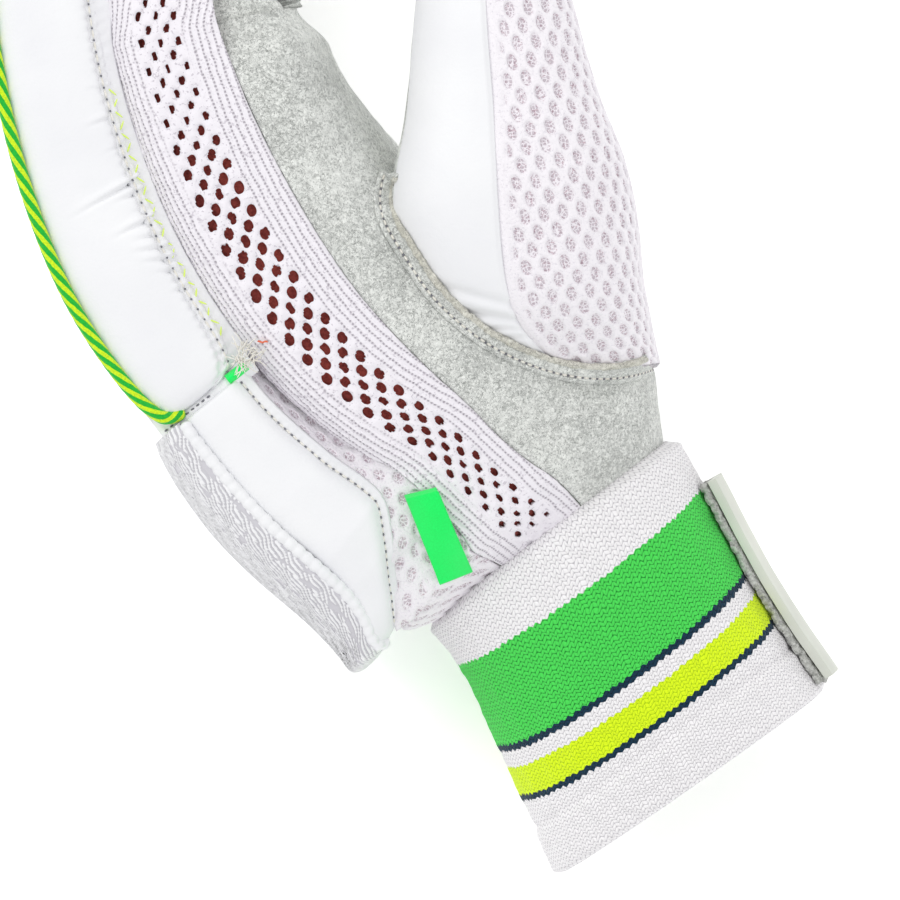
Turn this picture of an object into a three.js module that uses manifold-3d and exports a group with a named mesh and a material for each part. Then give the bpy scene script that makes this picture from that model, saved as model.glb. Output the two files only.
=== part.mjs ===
// Cricket batting glove for the left hand, lying on its little-finger side with the thumb uppermost.
// Lengths are in millimetres, angles in degrees, +Z is up and +Y is the way the fingers point.
import * as THREE from "three";
import Module from "manifold-3d";
import { mergeVertices } from "three/addons/utils/BufferGeometryUtils.js";

const wasm = await Module();
wasm.setup();

// Driving dimensions of the hand
const bendRadius = 163;
const bendHeading = 210;
const handLength = 150;
const handWidth = 104;
const handDepth = 50;
const wristAt = 100;
const fingerLength = 78;

// Driving dimensions of the wristband and its closure
const cuffLength = 66;
const cuffWidth = 75;
const cuffHeight = 62;
const cuffHeading = 120;
const cuffWall = 3;
const cuffSlant = 0.12;
const cuffTilt = 0.15;
const cuffOverlap = 9;
const cuffSquare = 2.3;
const strapThickness = 2.4;
const pileThickness = 1.8;

// Driving dimensions of the thumb
const thumbLength = 107;
const thumbWidth = 57;
const thumbHeight = 50;
const thumbHeading = 98.5;
const thumbSquare = 2.5;

// Walls, pads, trims and clearances
const suedeWall = 2;
const gussetWall = 2;
const liningWall = 1;
const fingerWall = 2;
const coverWall = 2;
const rollDepth = 27;
const wristPadDepth = 24;
const wristPadDome = 11;
const pipingRadius = 1.9;
const holeWidth = 2;
const holeLength = 3.2;
const holePitch = 6.3;
const holeRows = 24;
const tabThickness = 1;
const gap = 0.3;
const softGap = 0.7;

// How far the soft underside is pressed flat by the surface that the glove lies on
const settle = 1.5;

// Colours, with the roughness of each finish
const finishes = {
  leather: [0xf2f2f4, 0.55],
  suede: [0xc4c8c3, 0.95],
  elastic: [0xeeeaf0, 0.85],
  lining: [0x78302c, 0.9],
  mesh: [0xebe8ee, 0.85],
  towelling: [0xf0eef2, 0.95],
  greenTape: [0x00ee5f, 0.45],
  greenCord: [0x3fd820, 0.7],
  hookTape: [0xe1e1d7, 0.8],
};

const group = new THREE.Group();

function radians(degrees) {
  return degrees * Math.PI / 180;
}

function mix(a, b, t) {
  return a + (b - a) * t;
}

// Places along the hand's bend: along is 0 at the wrist and 1 at the finger crotch,
// and out is the distance from the bend's own curve towards the back of the hand
function onBend(along, out) {
  const run = along * handLength - wristAt;
  const angle = radians(bendHeading) - run / bendRadius;
  const radius = bendRadius + out;
  return new THREE.Vector2(radius * Math.cos(angle), radius * Math.sin(angle));
}

// Places in the wristband: across runs from back to palm, and up runs towards the fingers
const cuffOrigin = onBend(0, 0.05 * handDepth);
function onCuff(across, up) {
  const side = radians(cuffHeading - 90);
  const axis = radians(cuffHeading);
  return new THREE.Vector2(
    cuffOrigin.x + across * Math.cos(side) + up * Math.cos(axis),
    cuffOrigin.y + across * Math.sin(side) + up * Math.sin(axis),
  );
}

// A smooth value between the rows of a table, read at a place counted in rows
function smoothRow(rows, place, column) {
  const last = rows.length - 1;
  const i = Math.min(Math.floor(place), last - 1);
  const t = place - i;
  const p1 = rows[i][column];
  const p2 = rows[i + 1][column];
  const p0 = i > 0 ? rows[i - 1][column] : 2 * p1 - p2;
  const p3 = i + 2 <= last ? rows[i + 2][column] : 2 * p2 - p1;
  const cubic = t * t * (3 - 2 * t);
  const slope1 = (p2 - p0) / 2;
  const slope2 = (p3 - p1) / 2;
  const bend = t * (1 - t) * (slope1 * (1 - t) - slope2 * t);
  return mix(p1, p2, cubic) + bend;
}

// Makes a mesh geometry from points and triangles, turned so that its faces point out
function closedGeometry(points, triangles) {
  let volume = 0;
  for (const [a, b, c] of triangles) {
    volume += points[a].dot(new THREE.Vector3().crossVectors(points[b], points[c]));
  }
  const positions = points.flatMap((p) => [p.x, p.y, p.z]);
  const index = triangles.flatMap(([a, b, c]) => (volume > 0 ? [a, b, c] : [a, c, b]));
  const geometry = new THREE.BufferGeometry();
  geometry.setAttribute("position", new THREE.Float32BufferAttribute(positions, 3));
  geometry.setIndex(index);
  geometry.computeVertexNormals();
  return geometry;
}

// A closed wall between an outer and an inner grid of points, with rims round its edges.
// A wall that goes all the way round has no side rims, and a tip closes its last ring.
function wallSolid(outer, inner, goesRound, tip = null) {
  const rings = outer.length;
  const width = outer[0].length;
  const points = [...outer.flat(), ...inner.flat()];
  const innerStart = rings * width;
  const triangles = [];
  const at = (layer, i, j) => layer * innerStart + i * width + (j % width);
  const quad = (a, b, c, d) => {
    triangles.push([a, b, c], [a, c, d]);
  };
  const spans = goesRound ? width : width - 1;
  for (let j = 0; j < spans; j += 1) {
    for (let i = 0; i < rings - 1; i += 1) {
      quad(at(0, i, j), at(0, i, j + 1), at(0, i + 1, j + 1), at(0, i + 1, j));
      quad(at(1, i, j), at(1, i + 1, j), at(1, i + 1, j + 1), at(1, i, j + 1));
    }
    quad(at(0, 0, j), at(1, 0, j), at(1, 0, j + 1), at(0, 0, j + 1));
    if (tip) {
      const outerTip = points.length;
      triangles.push([at(0, rings - 1, j), at(0, rings - 1, j + 1), outerTip]);
      triangles.push([at(1, rings - 1, j), outerTip + 1, at(1, rings - 1, j + 1)]);
    } else {
      quad(at(0, rings - 1, j), at(0, rings - 1, j + 1), at(1, rings - 1, j + 1), at(1, rings - 1, j));
    }
  }
  if (!goesRound) {
    for (let i = 0; i < rings - 1; i += 1) {
      quad(at(0, i, 0), at(0, i + 1, 0), at(1, i + 1, 0), at(1, i, 0));
      quad(at(0, i, width - 1), at(1, i, width - 1), at(1, i + 1, width - 1), at(0, i + 1, width - 1));
    }
  }
  if (tip) {
    points.push(tip.outer, tip.inner);
  }
  return closedGeometry(points, triangles);
}

// A closed solid through rings of points, with a fan of faces over each end
function loftSolid(rings) {
  const width = rings[0].length;
  const points = rings.flat();
  const triangles = [];
  const at = (i, j) => i * width + (j % width);
  const middle = (ring) => ring.reduce((sum, p) => sum.add(p), new THREE.Vector3()).divideScalar(width);
  for (let i = 0; i < rings.length - 1; i += 1) {
    for (let j = 0; j < width; j += 1) {
      triangles.push([at(i, j), at(i, j + 1), at(i + 1, j + 1)]);
      triangles.push([at(i, j), at(i + 1, j + 1), at(i + 1, j)]);
    }
  }
  const first = points.length;
  points.push(middle(rings[0]), middle(rings[rings.length - 1]));
  for (let j = 0; j < width; j += 1) {
    triangles.push([first, at(0, j + 1), at(0, j)]);
    triangles.push([first + 1, at(rings.length - 1, j), at(rings.length - 1, j + 1)]);
  }
  return closedGeometry(points, triangles);
}

function toSolid(geometry) {
  const bare = geometry.clone();
  bare.deleteAttribute("normal");
  if (bare.hasAttribute("uv")) {
    bare.deleteAttribute("uv");
  }
  const merged = mergeVertices(bare, 1e-4);
  return new wasm.Manifold(new wasm.Mesh({
    numProp: 3,
    vertProperties: Float32Array.from(merged.attributes.position.array),
    triVerts: Uint32Array.from(merged.index.array),
  }));
}

function toGeometry(solid) {
  const mesh = solid.getMesh();
  const geometry = new THREE.BufferGeometry();
  geometry.setAttribute("position", new THREE.BufferAttribute(mesh.vertProperties, 3));
  geometry.setIndex(new THREE.BufferAttribute(mesh.triVerts, 1));
  geometry.computeVertexNormals();
  return geometry;
}

function addPiece(name, finish, geometry) {
  const [color, roughness] = finishes[finish];
  const mesh = new THREE.Mesh(geometry, new THREE.MeshStandardMaterial({ color, roughness, metalness: 0 }));
  mesh.name = name;
  group.add(mesh);
}

// A rounded cross-section: reach is how far it goes each way, and square how boxy each side is
function roundedPoint(angle, reachOut, reachIn, reachUp, squareOut, squareIn) {
  const c = Math.cos(angle);
  const s = Math.sin(angle);
  const square = c > 0 ? squareOut : squareIn;
  const reach = c > 0 ? reachOut : reachIn;
  return new THREE.Vector2(
    Math.sign(c) * reach * Math.abs(c) ** (2 / square),
    Math.sign(s) * reachUp * Math.abs(s) ** (2 / square),
  );
}

// The hand, from the wristband to the finger crotch.
// back and palm are shares of the hand's depth, floor and top of its width,
// and the band's two edges are shares of the way from back to palm
const handColumns = {
  alongBack: 0, back: 1, alongPalm: 2, palm: 3, floor: 4, top: 5,
  bandBack: 6, bandPalm: 7, middle: 8, squareBack: 9, squarePalm: 10,
};
const handRows = [
  [0.091, 0.66, -0.123, -0.54, 0.125, 0.660, 0.28, 0.63, 0.50, 2.3, 2.3],
  [0.117, 0.74, -0.067, -0.82, 0.070, 0.720, 0.27, 0.58, 0.48, 2.6, 2.3],
  [0.153, 0.62, 0.000, -0.90, 0.040, 0.755, 0.24, 0.53, 0.46, 3.2, 2.4],
  [0.193, 0.44, 0.080, -0.90, 0.015, 0.790, 0.17, 0.49, 0.44, 4.2, 2.4],
  [0.240, 0.27, 0.173, -0.90, 0.000, 0.825, 0.07, 0.45, 0.42, 5.4, 2.4],
  [0.333, 0.28, 0.300, -0.90, 0.000, 0.870, 0.03, 0.47, 0.42, 6.0, 2.4],
  [0.467, 0.31, 0.450, -0.88, 0.000, 0.915, 0.02, 0.50, 0.42, 6.0, 2.4],
  [0.667, 0.31, 0.667, -0.84, 0.000, 0.960, 0.02, 0.53, 0.42, 6.0, 2.6],
  [0.867, 0.29, 0.867, -0.73, 0.000, 0.990, 0.02, 0.56, 0.42, 6.0, 3.6],
  [1.000, 0.28, 1.000, -0.70, 0.000, 1.000, 0.02, 0.54, 0.42, 6.0, 5.0],
];
const handEnd = handRows.length - 1;

// The hand's section at a place counted in rows. Below the first row it lies in the wristband.
function handSection(place) {
  const read = (column) => smoothRow(handRows, Math.max(place, 0), handColumns[column]);
  const shape = {
    bandBack: read("bandBack"),
    bandPalm: read("bandPalm"),
    middle: read("middle"),
    squareBack: read("squareBack"),
    squarePalm: read("squarePalm"),
    press: mix(0, settle, Math.min(Math.max(place, 0), 1)),
  };
  if (place < 1) {
    const inset = cuffWall + softGap;
    const depth = Math.max(-place, 0) * cuffOverlap / cuffLength / Math.abs(cuffRows[1][0]);
    const side = (angle) => cuffPoint(depth, radians(angle), inset);
    const inside = {
      ...shape,
      back: new THREE.Vector2(side(180).x, side(180).y),
      palm: new THREE.Vector2(side(0).x, side(0).y),
      floor: side(270).z,
      top: side(90).z,
    };
    if (place <= 0) {
      return inside;
    }
    const next = handSection(1);
    return {
      ...shape,
      back: inside.back.lerp(next.back, place),
      palm: inside.palm.lerp(next.palm, place),
      floor: mix(inside.floor, next.floor, place),
      top: mix(inside.top, next.top, place),
    };
  }
  return {
    ...shape,
    back: onBend(read("alongBack"), read("back") * handDepth),
    palm: onBend(read("alongPalm"), read("palm") * handDepth),
    floor: Math.max(read("floor"), 0) * handWidth,
    top: read("top") * handWidth,
  };
}

// A point on the hand's surface: angle 0 faces the back, 90 the index side, 180 the palm
function handPoint(section, angle, inset) {
  const chord = section.palm.clone().sub(section.back);
  const length = chord.length();
  const { middle } = section;
  const centre = section.back.clone().addScaledVector(chord, middle);
  const reachUp = (section.top - section.floor + section.press) / 2;
  const spot = roundedPoint(
    angle, length * middle - inset, length * (1 - middle) - inset, reachUp - inset,
    section.squareBack, section.squarePalm,
  );
  const flat = centre.addScaledVector(chord, -spot.x / length);
  const z = (section.top + section.floor - section.press) / 2 + spot.y;
  return new THREE.Vector3(flat.x, flat.y, Math.max(z, section.floor + inset));
}

// The angle on the hand's upper side at a share of the way from back to palm
function handAngle(section, share) {
  const towardsBack = share < section.middle;
  const reach = towardsBack ? section.middle : 1 - section.middle;
  const square = towardsBack ? section.squareBack : section.squarePalm;
  const across = Math.min(Math.abs(section.middle - share) / reach, 1) ** (square / 2);
  return towardsBack ? Math.acos(across) : Math.PI - Math.acos(across);
}

// A wall that follows the hand, between two places along it and two angles given for each section
function handWall(places, count, anglesOf, inset, thickness) {
  const outer = [];
  const inner = [];
  for (const place of places) {
    const section = handSection(place);
    const [start, end] = anglesOf(section);
    const angles = Array.from({ length: count + 1 }, (_, j) => mix(start, end, j / count));
    outer.push(angles.map((angle) => handPoint(section, angle, inset)));
    inner.push(angles.map((angle) => handPoint(section, angle, inset + thickness)));
  }
  return wallSolid(outer, inner, false);
}

function steps(start, end, count) {
  return Array.from({ length: count + 1 }, (_, i) => mix(start, end, i / count));
}

const seamGap = 0.016;
const littleCorner = radians(-38);

// Wristband, an oval knitted tube that narrows a little below its top.
// back, palm and height are shares of the band's half width and half height
const cuffColumns = { up: 0, back: 1, palm: 2, height: 3 };
const cuffRows = [
  [0.00, 0.98, 1.00, 1.00],
  [-0.22, 0.93, 0.98, 1.00],
  [-0.55, 0.98, 0.96, 1.00],
  [-0.80, 1.02, 0.98, 1.00],
  [-0.97, 1.05, 1.01, 1.00],
  [-1.00, 1.03, 1.00, 0.98],
];

function cuffCentre(up) {
  return cuffHeight / 2 - settle + cuffTilt * (cuffLength + up);
}

// A point on the wristband: angle 0 faces the palm and 90 the index side
function cuffPoint(place, angle, inset) {
  const read = (column) => smoothRow(cuffRows, place, cuffColumns[column]);
  const up = read("up") * cuffLength;
  const reachUp = read("height") * cuffHeight / 2 - inset;
  const spot = roundedPoint(
    angle, read("palm") * cuffWidth / 2 - inset, read("back") * cuffWidth / 2 - inset, reachUp,
    cuffSquare, cuffSquare,
  );
  const centre = cuffCentre(up);
  const flat = onCuff(spot.x, up + spot.x * cuffSlant);
  return new THREE.Vector3(flat.x, flat.y, Math.max(centre + spot.y, Math.max(inset, 0)));
}

function makeCuff() {
  const sides = 24;
  const outer = [];
  const inner = [];
  for (const place of steps(0, cuffRows.length - 1, 7)) {
    const angles = Array.from({ length: sides }, (_, j) => 2 * Math.PI * j / sides);
    outer.push(angles.map((angle) => cuffPoint(place, angle, 0)));
    inner.push(angles.map((angle) => cuffPoint(place, angle, cuffWall)));
  }
  addPiece("cuff", "towelling", wallSolid(outer, inner, true));
}

// Closure strap and the fuzzy patch under it, wrapped over the palm side of the wristband.
// Its top and bottom are places in the wristband's table, and the rest are angles round the band
const strapSpan = { top: 0.75, bottom: 3.99, below: -62, above: 20 };

function makeClosure() {
  const angles = steps(radians(strapSpan.below), radians(strapSpan.above), 6);
  const layer = (lift, thickness) => {
    const outer = [];
    const inner = [];
    for (const place of steps(strapSpan.top, strapSpan.bottom, 4)) {
      outer.push(angles.map((angle) => cuffPoint(place, angle, -lift - thickness)));
      inner.push(angles.map((angle) => cuffPoint(place, angle, -lift)));
    }
    return wallSolid(outer, inner, false);
  };
  addPiece("closure_pile", "hookTape", layer(softGap, pileThickness));
  addPiece("closure_strap", "hookTape", layer(softGap + pileThickness + gap, strapThickness));
}

// Thumb: a padded tube whose root runs into the palm. forward is a share of its length, aside and
// half of its width, rise and half of its height, and all count from the thumb's root
const thumbColumns = { forward: 0, aside: 1, half: 2, centre: 3, rise: 4 };
const thumbRows = [
  [-0.08, -0.144, 0.52, 0.54, 0.76],
  [0.09, 0.056, 0.88, 0.66, 1.04],
  [0.32, 0.112, 1.00, 0.775, 0.92],
  [0.54, 0.094, 0.79, 0.82, 0.80],
  [0.75, 0.070, 0.64, 0.84, 0.70],
  [0.89, 0.035, 0.55, 0.845, 0.62],
  [0.97, 0.004, 0.38, 0.845, 0.42],
  [0.995, 0.004, 0.15, 0.845, 0.17],
];
const thumbRoot = onBend(0.145, -0.746 * handDepth);
const thumbEnd = thumbRows.length - 1;

// A point on the thumb: angle 0 faces away from the fingers and 90 up
function thumbPoint(place, angle, inset) {
  const read = (column) => smoothRow(thumbRows, place, thumbColumns[column]);
  const heading = radians(thumbHeading);
  const forward = read("forward") * thumbLength;
  const spot = roundedPoint(
    angle, read("half") * thumbWidth / 2 - inset, read("half") * thumbWidth / 2 - inset,
    read("rise") * thumbHeight / 2 - inset, thumbSquare, thumbSquare,
  );
  const aside = read("aside") * thumbWidth - spot.x;
  return new THREE.Vector3(
    thumbRoot.x + forward * Math.cos(heading) - aside * Math.sin(heading),
    thumbRoot.y + forward * Math.sin(heading) + aside * Math.cos(heading),
    read("centre") * handWidth + spot.y,
  );
}

function thumbRings(inset, sides, count) {
  const rings = [];
  for (const place of steps(0, thumbEnd, count)) {
    const angles = Array.from({ length: sides }, (_, j) => 2 * Math.PI * j / sides);
    rings.push(angles.map((angle) => thumbPoint(place, angle, inset)));
  }
  return rings;
}

function thumbWall([startAngle, endAngle, count], hand) {
  const angles = steps(radians(startAngle), radians(endAngle), count);
  const outer = [];
  const inner = [];
  for (const place of steps(0, thumbEnd, 9)) {
    outer.push(angles.map((angle) => thumbPoint(place, angle, 0)));
    inner.push(angles.map((angle) => thumbPoint(place, angle, suedeWall)));
  }
  return toGeometry(toSolid(wallSolid(outer, inner, false)).subtract(hand));
}

// The whole hand as one body, grown by a clearance, for cutting what meets it
function handBody(grow) {
  const sides = 32;
  const rings = [-1, ...steps(0, handEnd, 14)].map((place) => {
    const section = handSection(place);
    const angles = Array.from({ length: sides }, (_, j) => 2 * Math.PI * j / sides);
    return angles.map((angle) => handPoint(section, angle, -grow));
  });
  return toSolid(loftSolid(rings));
}

// The thumb's three panels: the angles where each starts and ends, and its faces between them
const thumbPanels = { leather: [94, 166, 5], mesh: [-35, 92, 8], suede: [168, 323, 8] };

function makeThumb() {
  const hand = handBody(gap);
  addPiece("thumb_leather", "leather", thumbWall(thumbPanels.leather, hand));
  addPiece("thumb_mesh", "mesh", thumbWall(thumbPanels.mesh, hand));
  addPiece("thumb_palm", "suede", thumbWall(thumbPanels.suede, hand));
}

function makeHand() {
  const places = [-1, ...steps(0, handEnd, 14)];
  const suedeAngles = (section) => [
    handAngle(section, section.bandPalm + seamGap), 2 * Math.PI + littleCorner,
  ];
  const suede = handWall(places, 14, suedeAngles, 0, suedeWall);
  const thumbHollow = toSolid(loftSolid(thumbRings(suedeWall, 18, 9)));
  addPiece("palm_suede", "suede", toGeometry(toSolid(suede).subtract(thumbHollow)));
  const meshAngles = (section) => [
    littleCorner + 2 * seamGap, handAngle(section, Math.max(section.bandBack - seamGap, seamGap / 4)),
  ];
  addPiece("back_mesh", "mesh", handWall(places, 8, meshAngles, 0, suedeWall));
}

// Index-side band: it runs along the top of the hand and on over the index finger.
// back and palm are shares of the hand's depth
const bandFingerColumns = { past: 0, back: 1, palm: 2 };
const bandFingerRows = [
  [0.00, 0.26, -0.26],
  [0.12, 0.23, -0.25],
  [0.30, 0.20, -0.25],
  [0.55, 0.17, -0.24],
  [0.80, 0.09, -0.19],
];

function bandPoint(place, share, inset) {
  const onHand = Math.min(place, handEnd);
  const section = handSection(onHand);
  const angle = handAngle(section, mix(section.bandBack, section.bandPalm, share));
  const onTop = handPoint(section, angle, inset);
  if (place <= handEnd) {
    return onTop;
  }
  const row = (place - handEnd) * (bandFingerRows.length - 1);
  const read = (column) => smoothRow(bandFingerRows, Math.max(row, 1), bandFingerColumns[column]);
  const out = mix(read("back"), read("palm"), share) * handDepth;
  const above = bandStack - gap - inset;
  const onFinger = fingerTop(0, read("past"), out);
  onFinger.z += above;
  return row < 1 ? onTop.lerp(onFinger, row) : onFinger;
}

function bandWall(places, margin, count, inset, thickness) {
  const shares = steps(margin, 1 - margin, count);
  const outer = places.map((place) => shares.map((share) => bandPoint(place, share, inset)));
  const inner = places.map((place) => shares.map((share) => bandPoint(place, share, inset + thickness)));
  return wallSolid(outer, inner, false);
}

function bandHole(place, share) {
  const centre = bandPoint(place, share, gussetWall / 2);
  const ahead = bandPoint(place + 0.05, share, gussetWall / 2);
  const turn = Math.atan2(ahead.y - centre.y, ahead.x - centre.x);
  const outline = new THREE.Shape(steps(0, 3, 3).map((corner) => {
    const angle = radians(90 * corner);
    return new THREE.Vector2(holeLength / 2 * Math.cos(angle), holeWidth / 2 * Math.sin(angle));
  }));
  const depth = 4 * gussetWall;
  const prism = new THREE.ExtrudeGeometry(outline, { depth, bevelEnabled: false });
  prism.translate(0, 0, -depth / 2);
  prism.rotateZ(turn);
  prism.translate(centre.x, centre.y, centre.z);
  return toSolid(prism);
}

// The place on the band at a distance along the bend
function bandPlace(run) {
  const runs = steps(0, handEnd + 1, 200).map((place) => {
    const middle = bandPoint(place, 0.5, 0);
    return [place, middle];
  });
  let travelled = 0;
  for (let i = 1; i < runs.length; i += 1) {
    const step = runs[i][1].distanceTo(runs[i - 1][1]);
    if (travelled + step >= run) {
      return mix(runs[i - 1][0], runs[i][0], (run - travelled) / step);
    }
    travelled += step;
  }
  return handEnd + 1;
}

// The columns of holes, as shares of the way across the band, and the run to the first hole
const holeColumns = [0.32, 0.405, 0.49, 0.575, 0.66];
const firstHole = 9;
const bandStart = 0.3;

function makeBand() {
  const bandColumns = 6;
  const liningColumns = bandColumns - 2;
  const places = [...steps(bandStart, handEnd, 11), ...steps(handEnd, handEnd + 1, 4).slice(1)];
  let band = toSolid(bandWall(places, 0, bandColumns, 0, gussetWall));
  let holes = null;
  for (let row = 0; row < holeRows; row += 1) {
    holeColumns.forEach((share, column) => {
      const run = firstHole + holePitch * (row + (column % 2) / 2);
      const hole = bandHole(bandPlace(run), share);
      holes = holes ? holes.add(hole) : hole;
    });
  }
  band = band.subtract(holes);
  addPiece("index_gusset", "elastic", toGeometry(band));
  const lining = bandWall(places, 1 / bandColumns, liningColumns, gussetWall + softGap, liningWall);
  addPiece("gusset_lining", "lining", lining);
}

// Fingers: hollow sleeves side by side from the index side down, with their roots inside the hand.
// along is counted past the crotch in finger lengths, back and palm are shares of the hand's depth
const fingerColumns = { past: 0, back: 1, palm: 2, girth: 3, square: 4 };
const fingerRows = [
  [-0.07, 0.195, -0.59, 0.92, 3.4],
  [0.02, 0.205, -0.55, 0.94, 3.1],
  [0.10, 0.265, -0.50, 0.975, 2.8],
  [0.45, 0.245, -0.46, 0.955, 2.6],
  [0.75, 0.190, -0.38, 0.89, 2.5],
  [0.93, 0.120, -0.25, 0.74, 2.4],
  [0.98, 0.040, -0.16, 0.50, 2.4],
];
const fingerNames = ["index", "middle", "ring", "little"];
const fingerReach = [0.97, 1.04, 1.0, 0.9];
const fingerCurl = [0, 0.10, 0.13, 0.10];
const bandStack = gussetWall + liningWall + 2 * softGap;

// The fingers beyond the index bulge this much further to the palm, past a short way from the crotch
const palmBulge = { from: 0.05, depth: 0.12 };

// How far across a finger's upper side the band may reach
const fingerTopReach = 0.92;

// The height of a finger's middle, and half of the room that it has in the row of four
function fingerLane(number) {
  const floorWall = suedeWall + softGap;
  const usable = handWidth - floorWall - bandStack - gap;
  const room = usable / fingerNames.length;
  return { centre: floorWall + room * (fingerNames.length - number - 0.5), half: room / 2 };
}

function fingerOffset(number, past) {
  return -fingerCurl[number] * handDepth * Math.max(past, 0) ** 1.5 * fingerReach[number];
}

// A finger's section at a place counted in rows: where its middle is and how far it reaches
function fingerSection(number, place) {
  const read = (column) => smoothRow(fingerRows, place, fingerColumns[column]);
  const lane = fingerLane(number);
  const past = read("past");
  const back = read("back") * handDepth;
  const palm = read("palm") * handDepth;
  const deeper = number > 0 && past > palmBulge.from ? palmBulge.depth * handDepth : 0;
  return {
    past,
    along: 1 + past * fingerReach[number] * fingerLength / handLength,
    middle: (back + palm - deeper) / 2 + fingerOffset(number, past),
    reach: (back - palm + deeper) / 2,
    height: lane.centre,
    half: read("girth") * lane.half,
    square: read("square"),
  };
}

function fingerPoint(number, place, angle, inset) {
  const section = fingerSection(number, place);
  const reach = section.reach - inset;
  const spot = roundedPoint(angle, reach, reach, section.half - inset, section.square, section.square);
  const flat = onBend(section.along, section.middle + spot.x);
  return new THREE.Vector3(flat.x, flat.y, section.height + spot.y);
}

// The place in the table at which a finger has come a share of its length past the crotch
function fingerPlace(past) {
  const last = fingerRows.length - 1;
  const isPast = (place) => smoothRow(fingerRows, place, fingerColumns.past) >= past;
  const found = steps(0, last, 20 * last).find(isPast);
  return found ?? last;
}

// A point on a finger's upper side
function fingerTop(number, past, out) {
  const section = fingerSection(number, fingerPlace(past));
  const across = Math.min(Math.abs(out - section.middle) / section.reach, fingerTopReach);
  const rise = (1 - across ** section.square) ** (1 / section.square);
  const flat = onBend(section.along, out);
  return new THREE.Vector3(flat.x, flat.y, section.height + rise * section.half);
}

function makeFingers() {
  const sides = 12;
  const last = fingerRows.length - 1;
  fingerNames.forEach((name, number) => {
    const ring = (place, inset) => Array.from(
      { length: sides }, (_, j) => fingerPoint(number, place, 2 * Math.PI * j / sides, inset),
    );
    const places = steps(0, last, 6);
    const palmSide = (place) => fingerPoint(number, place, Math.PI, 0);
    const middle = (place) => fingerPoint(number, place, 0, 0).lerp(palmSide(place), 0.5);
    const forward = middle(last).sub(middle(last - 1)).normalize();
    const tip = {
      outer: middle(last).addScaledVector(forward, fingerWall),
      inner: middle(last),
    };
    const outer = places.map((place) => ring(place, 0));
    const inner = places.map((place) => ring(place, fingerWall));
    addPiece(`${name}_finger`, "suede", wallSolid(outer, inner, true, tip));
  });
}

// Rolls along the back of the hand, one for each finger.
// lift and depth are shares of the roll's depth, girth of the finger's room
const rollColumns = { along: 0, lift: 1, depth: 2, girth: 3 };
const rollRows = [
  [0.506, 0.36, 0.58, 0.55],
  [0.512, 0.18, 0.80, 0.80],
  [0.530, 0.06, 0.90, 0.93],
  [0.580, 0.00, 0.96, 0.97],
  [0.700, 0.00, 1.00, 0.98],
  [0.850, 0.00, 0.98, 0.98],
  [1.000, 0.00, 0.94, 0.98],
  [1.120, 0.00, 0.90, 0.96],
  [1.147, 0.10, 0.76, 0.80],
];
const rollSquare = 5;

function handBack(along) {
  const rows = handRows;
  let i = 0;
  while (i < rows.length - 2 && rows[i + 1][handColumns.alongBack] < along) {
    i += 1;
  }
  const start = rows[i][handColumns.alongBack];
  const end = rows[i + 1][handColumns.alongBack];
  const place = Math.min(Math.max((along - start) / (end - start), 0), 1) + i;
  return {
    out: smoothRow(rows, place, handColumns.back) * handDepth,
    top: smoothRow(rows, place, handColumns.top) * handWidth,
  };
}

function rollPoint(number, place, angle) {
  const read = (column) => smoothRow(rollRows, place, rollColumns[column]);
  const along = read("along");
  const hand = handBack(along);
  const inner = hand.out + gap + read("lift") * rollDepth;
  const outer = hand.out + gap + read("depth") * rollDepth;
  const room = hand.top / fingerNames.length;
  const under = number === fingerNames.length - 1 ? settle / 2 : 0;
  const centre = room * (fingerNames.length - number - 0.5) - under;
  const reach = (outer - inner) / 2;
  const half = read("girth") * room / 2 + under;
  const spot = roundedPoint(angle, reach, reach, half, rollSquare, rollSquare);
  const flat = onBend(along, (inner + outer) / 2 + spot.x);
  return new THREE.Vector3(flat.x, flat.y, Math.max(centre + spot.y, 0));
}

function makeRolls() {
  const sides = 12;
  fingerNames.forEach((name, number) => {
    const rings = steps(0, rollRows.length - 1, 8).map((place) => Array.from(
      { length: sides }, (_, j) => rollPoint(number, place, 2 * Math.PI * (j + 0.5) / sides),
    ));
    addPiece(`${name}_roll`, "leather", loftSolid(rings));
  });
}

// Fingertip pads that carry on from the rolls over the last two joints of each finger.
// run is a share of the way from the roll to the fingertip
const tipPadColumns = { run: 0, lift: 1, depth: 2, girth: 3 };
const tipPadRows = [
  [0.00, 0.10, 0.66, 0.80],
  [0.05, 0.00, 0.80, 0.94],
  [0.45, 0.00, 0.78, 0.92],
  [0.80, 0.00, 0.66, 0.84],
  [1.00, 0.10, 0.46, 0.62],
];
const tipPadGap = 0.012;
const tipPadStart = rollRows[rollRows.length - 1][rollColumns.along] - 1 + tipPadGap;
const tipPadEnd = 0.96;
const tipPadSquare = 4;

function makeTipPads() {
  const sides = 12;
  fingerNames.forEach((name, number) => {
    const perAlong = handLength / (fingerReach[number] * fingerLength);
    const rings = steps(0, tipPadRows.length - 1, 5).map((place) => {
      const read = (column) => smoothRow(tipPadRows, place, tipPadColumns[column]);
      const past = mix(tipPadStart * perAlong, tipPadEnd, read("run"));
      const section = fingerSection(number, fingerPlace(past));
      const along = 1 + past / perAlong;
      const start = section.middle + section.reach + softGap;
      const inner = start + read("lift") * rollDepth;
      const outer = start + read("depth") * rollDepth;
      const reach = (outer - inner) / 2;
      const half = read("girth") * fingerLane(number).half;
      return Array.from({ length: sides }, (_, j) => {
        const angle = 2 * Math.PI * (j + 0.5) / sides;
        const spot = roundedPoint(angle, reach, reach, half, tipPadSquare, tipPadSquare);
        const flat = onBend(along, (inner + outer) / 2 + spot.x);
        return new THREE.Vector3(flat.x, flat.y, section.height + spot.y);
      });
    });
    addPiece(`${name}_tip_pad`, "leather", loftSolid(rings));
  });
}

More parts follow.
